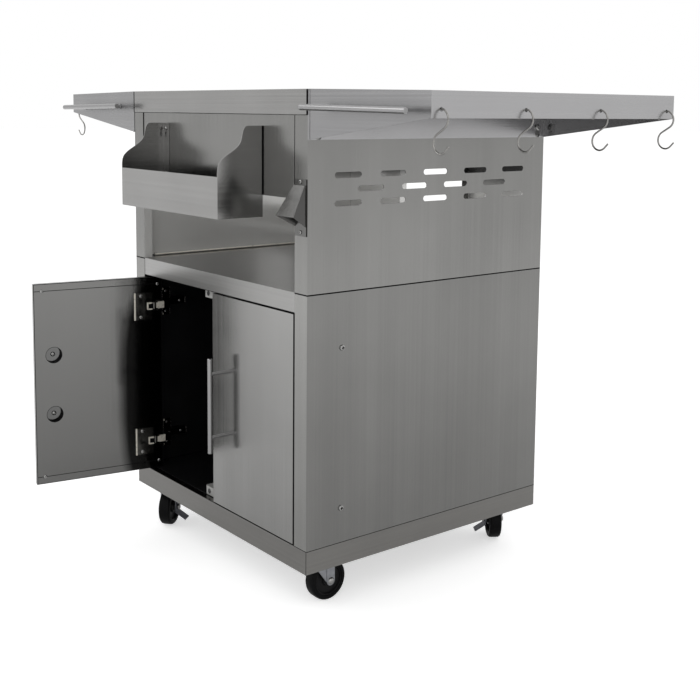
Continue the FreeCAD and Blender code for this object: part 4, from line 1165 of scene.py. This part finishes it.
class GRILLCART_OT_stage(bpy.types.Operator):
    """Set the floor, the lamps, the white surroundings and the camera"""

    bl_idname = "grill_cart.stage"
    bl_label = "Stage"

    def execute(self, context):
        self.floor()
        self.surroundings()
        self.lamp("key", (-2.1, -3.1, 3.4), 3.4, 62.0)
        self.lamp("fill", (3.3, -2.3, 2.6), 3.2, 34.0)
        self.lamp("back", (0.6, 3.4, 3.1), 3.2, 34.0)
        self.camera()
        context.scene.view_settings.view_transform = "Standard"
        return {"FINISHED"}

    def floor(self):
        """White floor. For every ray but the camera's, its glow holds a painted shade, darker near the cart where
        the cart keeps light off it, so the steel shows it darker there.
        """
        part = bmesh.new()
        bmesh.ops.create_grid(part, x_segments=1, y_segments=1, size=40.0)
        mesh = bpy.data.meshes.new("floor")
        part.to_mesh(mesh)
        part.free()
        shader, add = finish_nodes("pale_floor")
        shader.inputs["Base Color"].default_value = (0.80, 0.80, 0.80, 1)
        shader.inputs["Roughness"].default_value = 0.9
        shader.inputs["Emission Color"].default_value = (1, 1, 1, 1)
        place = add("ShaderNodeTexCoord")
        distance = add("ShaderNodeVectorMath", [(place.outputs["Object"], 0)], operation="LENGTH")
        # Painted shade: darker glow near the cart for every ray but the camera's
        shaded_range = (0.4, 3.2)
        shaded_levels = (0.20, 0.58)
        open_level = 0.55
        mirrored = ranged(add, distance.outputs["Value"], *shaded_range, *shaded_levels)
        path = add("ShaderNodeLightPath")
        glow = add("ShaderNodeMix", [(path.outputs["Is Camera Ray"], 0), (mirrored, 2)])
        glow.inputs[3].default_value = open_level
        link(glow.outputs[0], shader.inputs["Emission Strength"])
        mesh.materials.append(bpy.data.materials["pale_floor"])
        floor = bpy.data.objects.new("floor", mesh)
        bpy.context.scene.collection.objects.link(floor)

    def surroundings(self):
        """White all round for rays that show it, and a plain level for those that light the cart."""
        world = bpy.data.worlds.new("studio")
        bpy.context.scene.world = world
        world.use_nodes = True
        add = node_adder(world.node_tree)
        background = world.node_tree.nodes["Background"]
        background.inputs["Color"].default_value = (1, 1, 1, 1)
        path = add("ShaderNodeLightPath").outputs
        seen = calculated(add, "MAXIMUM", path["Is Camera Ray"], path["Is Glossy Ray"])
        seen = calculated(add, "MAXIMUM", seen, path["Is Transmission Ray"])
        link(ranged(add, seen, 0.0, 1.0, 0.62, 1.0), background.inputs["Strength"])

    def lamp(self, name, place, width, power):
        light = bpy.data.lights.new(name, "AREA")
        light.shape = "SQUARE"
        light.size = width
        light.energy = power
        lamp = bpy.data.objects.new(name, light)
        lamp.matrix_world = pointed(Vector(place), Vector(place) - CART_MIDDLE)
        bpy.context.scene.collection.objects.link(lamp)

    def camera(self):
        """Camera where the photograph was taken from."""
        eye = Vector((1.7542, -1.2314, 0.8717))
        yaw, pitch, roll = math.radians(51.604), math.radians(6.308), math.radians(0.516)
        ahead = Vector((-math.sin(yaw) * math.cos(pitch), math.cos(yaw) * math.cos(pitch), -math.sin(pitch)))
        right = Vector((math.cos(yaw), math.sin(yaw), 0))
        up = right.cross(ahead)
        right, up = (right * math.cos(roll) + up * math.sin(roll),
                     up * math.cos(roll) - right * math.sin(roll))
        lens = bpy.data.cameras.new("photo_view")
        lens.lens = 56.446
        lens.sensor_width = 36.0
        lens.shift_y = -0.17
        camera = bpy.data.objects.new("photo_view", lens)
        camera.matrix_world = Matrix.Translation(eye) @ Matrix((right, up, -ahead)).transposed().to_4x4()
        bpy.context.scene.collection.objects.link(camera)
        bpy.context.scene.camera = camera


class GRILLCART_PT_panel(bpy.types.Panel):
    """Lists the cart's sizes, colours and groups of pieces"""

    bl_idname = "GRILLCART_PT_panel"
    bl_label = "Grill cart"
    bl_space_type = "VIEW_3D"
    bl_region_type = "UI"
    bl_category = "Grill cart"

    def draw(self, context):
        layout = self.layout
        for group in (sizes(), colours()):
            column = layout.column(align=True)
            for name in group.__annotations__:
                column.prop(group, name)
        for operator in OPERATORS:
            layout.operator(operator.bl_idname)


OPERATORS = (GRILLCART_OT_finishes, GRILLCART_OT_cabinet, GRILLCART_OT_upper, GRILLCART_OT_shelves,
             GRILLCART_OT_hooks, GRILLCART_OT_rack, GRILLCART_OT_doors, GRILLCART_OT_hinges,
             GRILLCART_OT_catches, GRILLCART_OT_castors, GRILLCART_OT_fasteners, GRILLCART_OT_painted_shade,
             GRILLCART_OT_stage)
CLASSES = (CartSizes, CartColours) + OPERATORS + (GRILLCART_PT_panel,)


def register():
    for kind in CLASSES:
        bpy.utils.register_class(kind)
    bpy.types.Scene.grill_cart_sizes = PointerProperty(type=CartSizes)
    bpy.types.Scene.grill_cart_colours = PointerProperty(type=CartColours)


def unregister():
    del bpy.types.Scene.grill_cart_sizes
    del bpy.types.Scene.grill_cart_colours
    for kind in reversed(CLASSES):
        bpy.utils.unregister_class(kind)


def main():
    register()
    for operator in OPERATORS:
        group, name = operator.bl_idname.split(".")
        getattr(getattr(bpy.ops, group), name)()


if __name__ == "__main__":
    main()
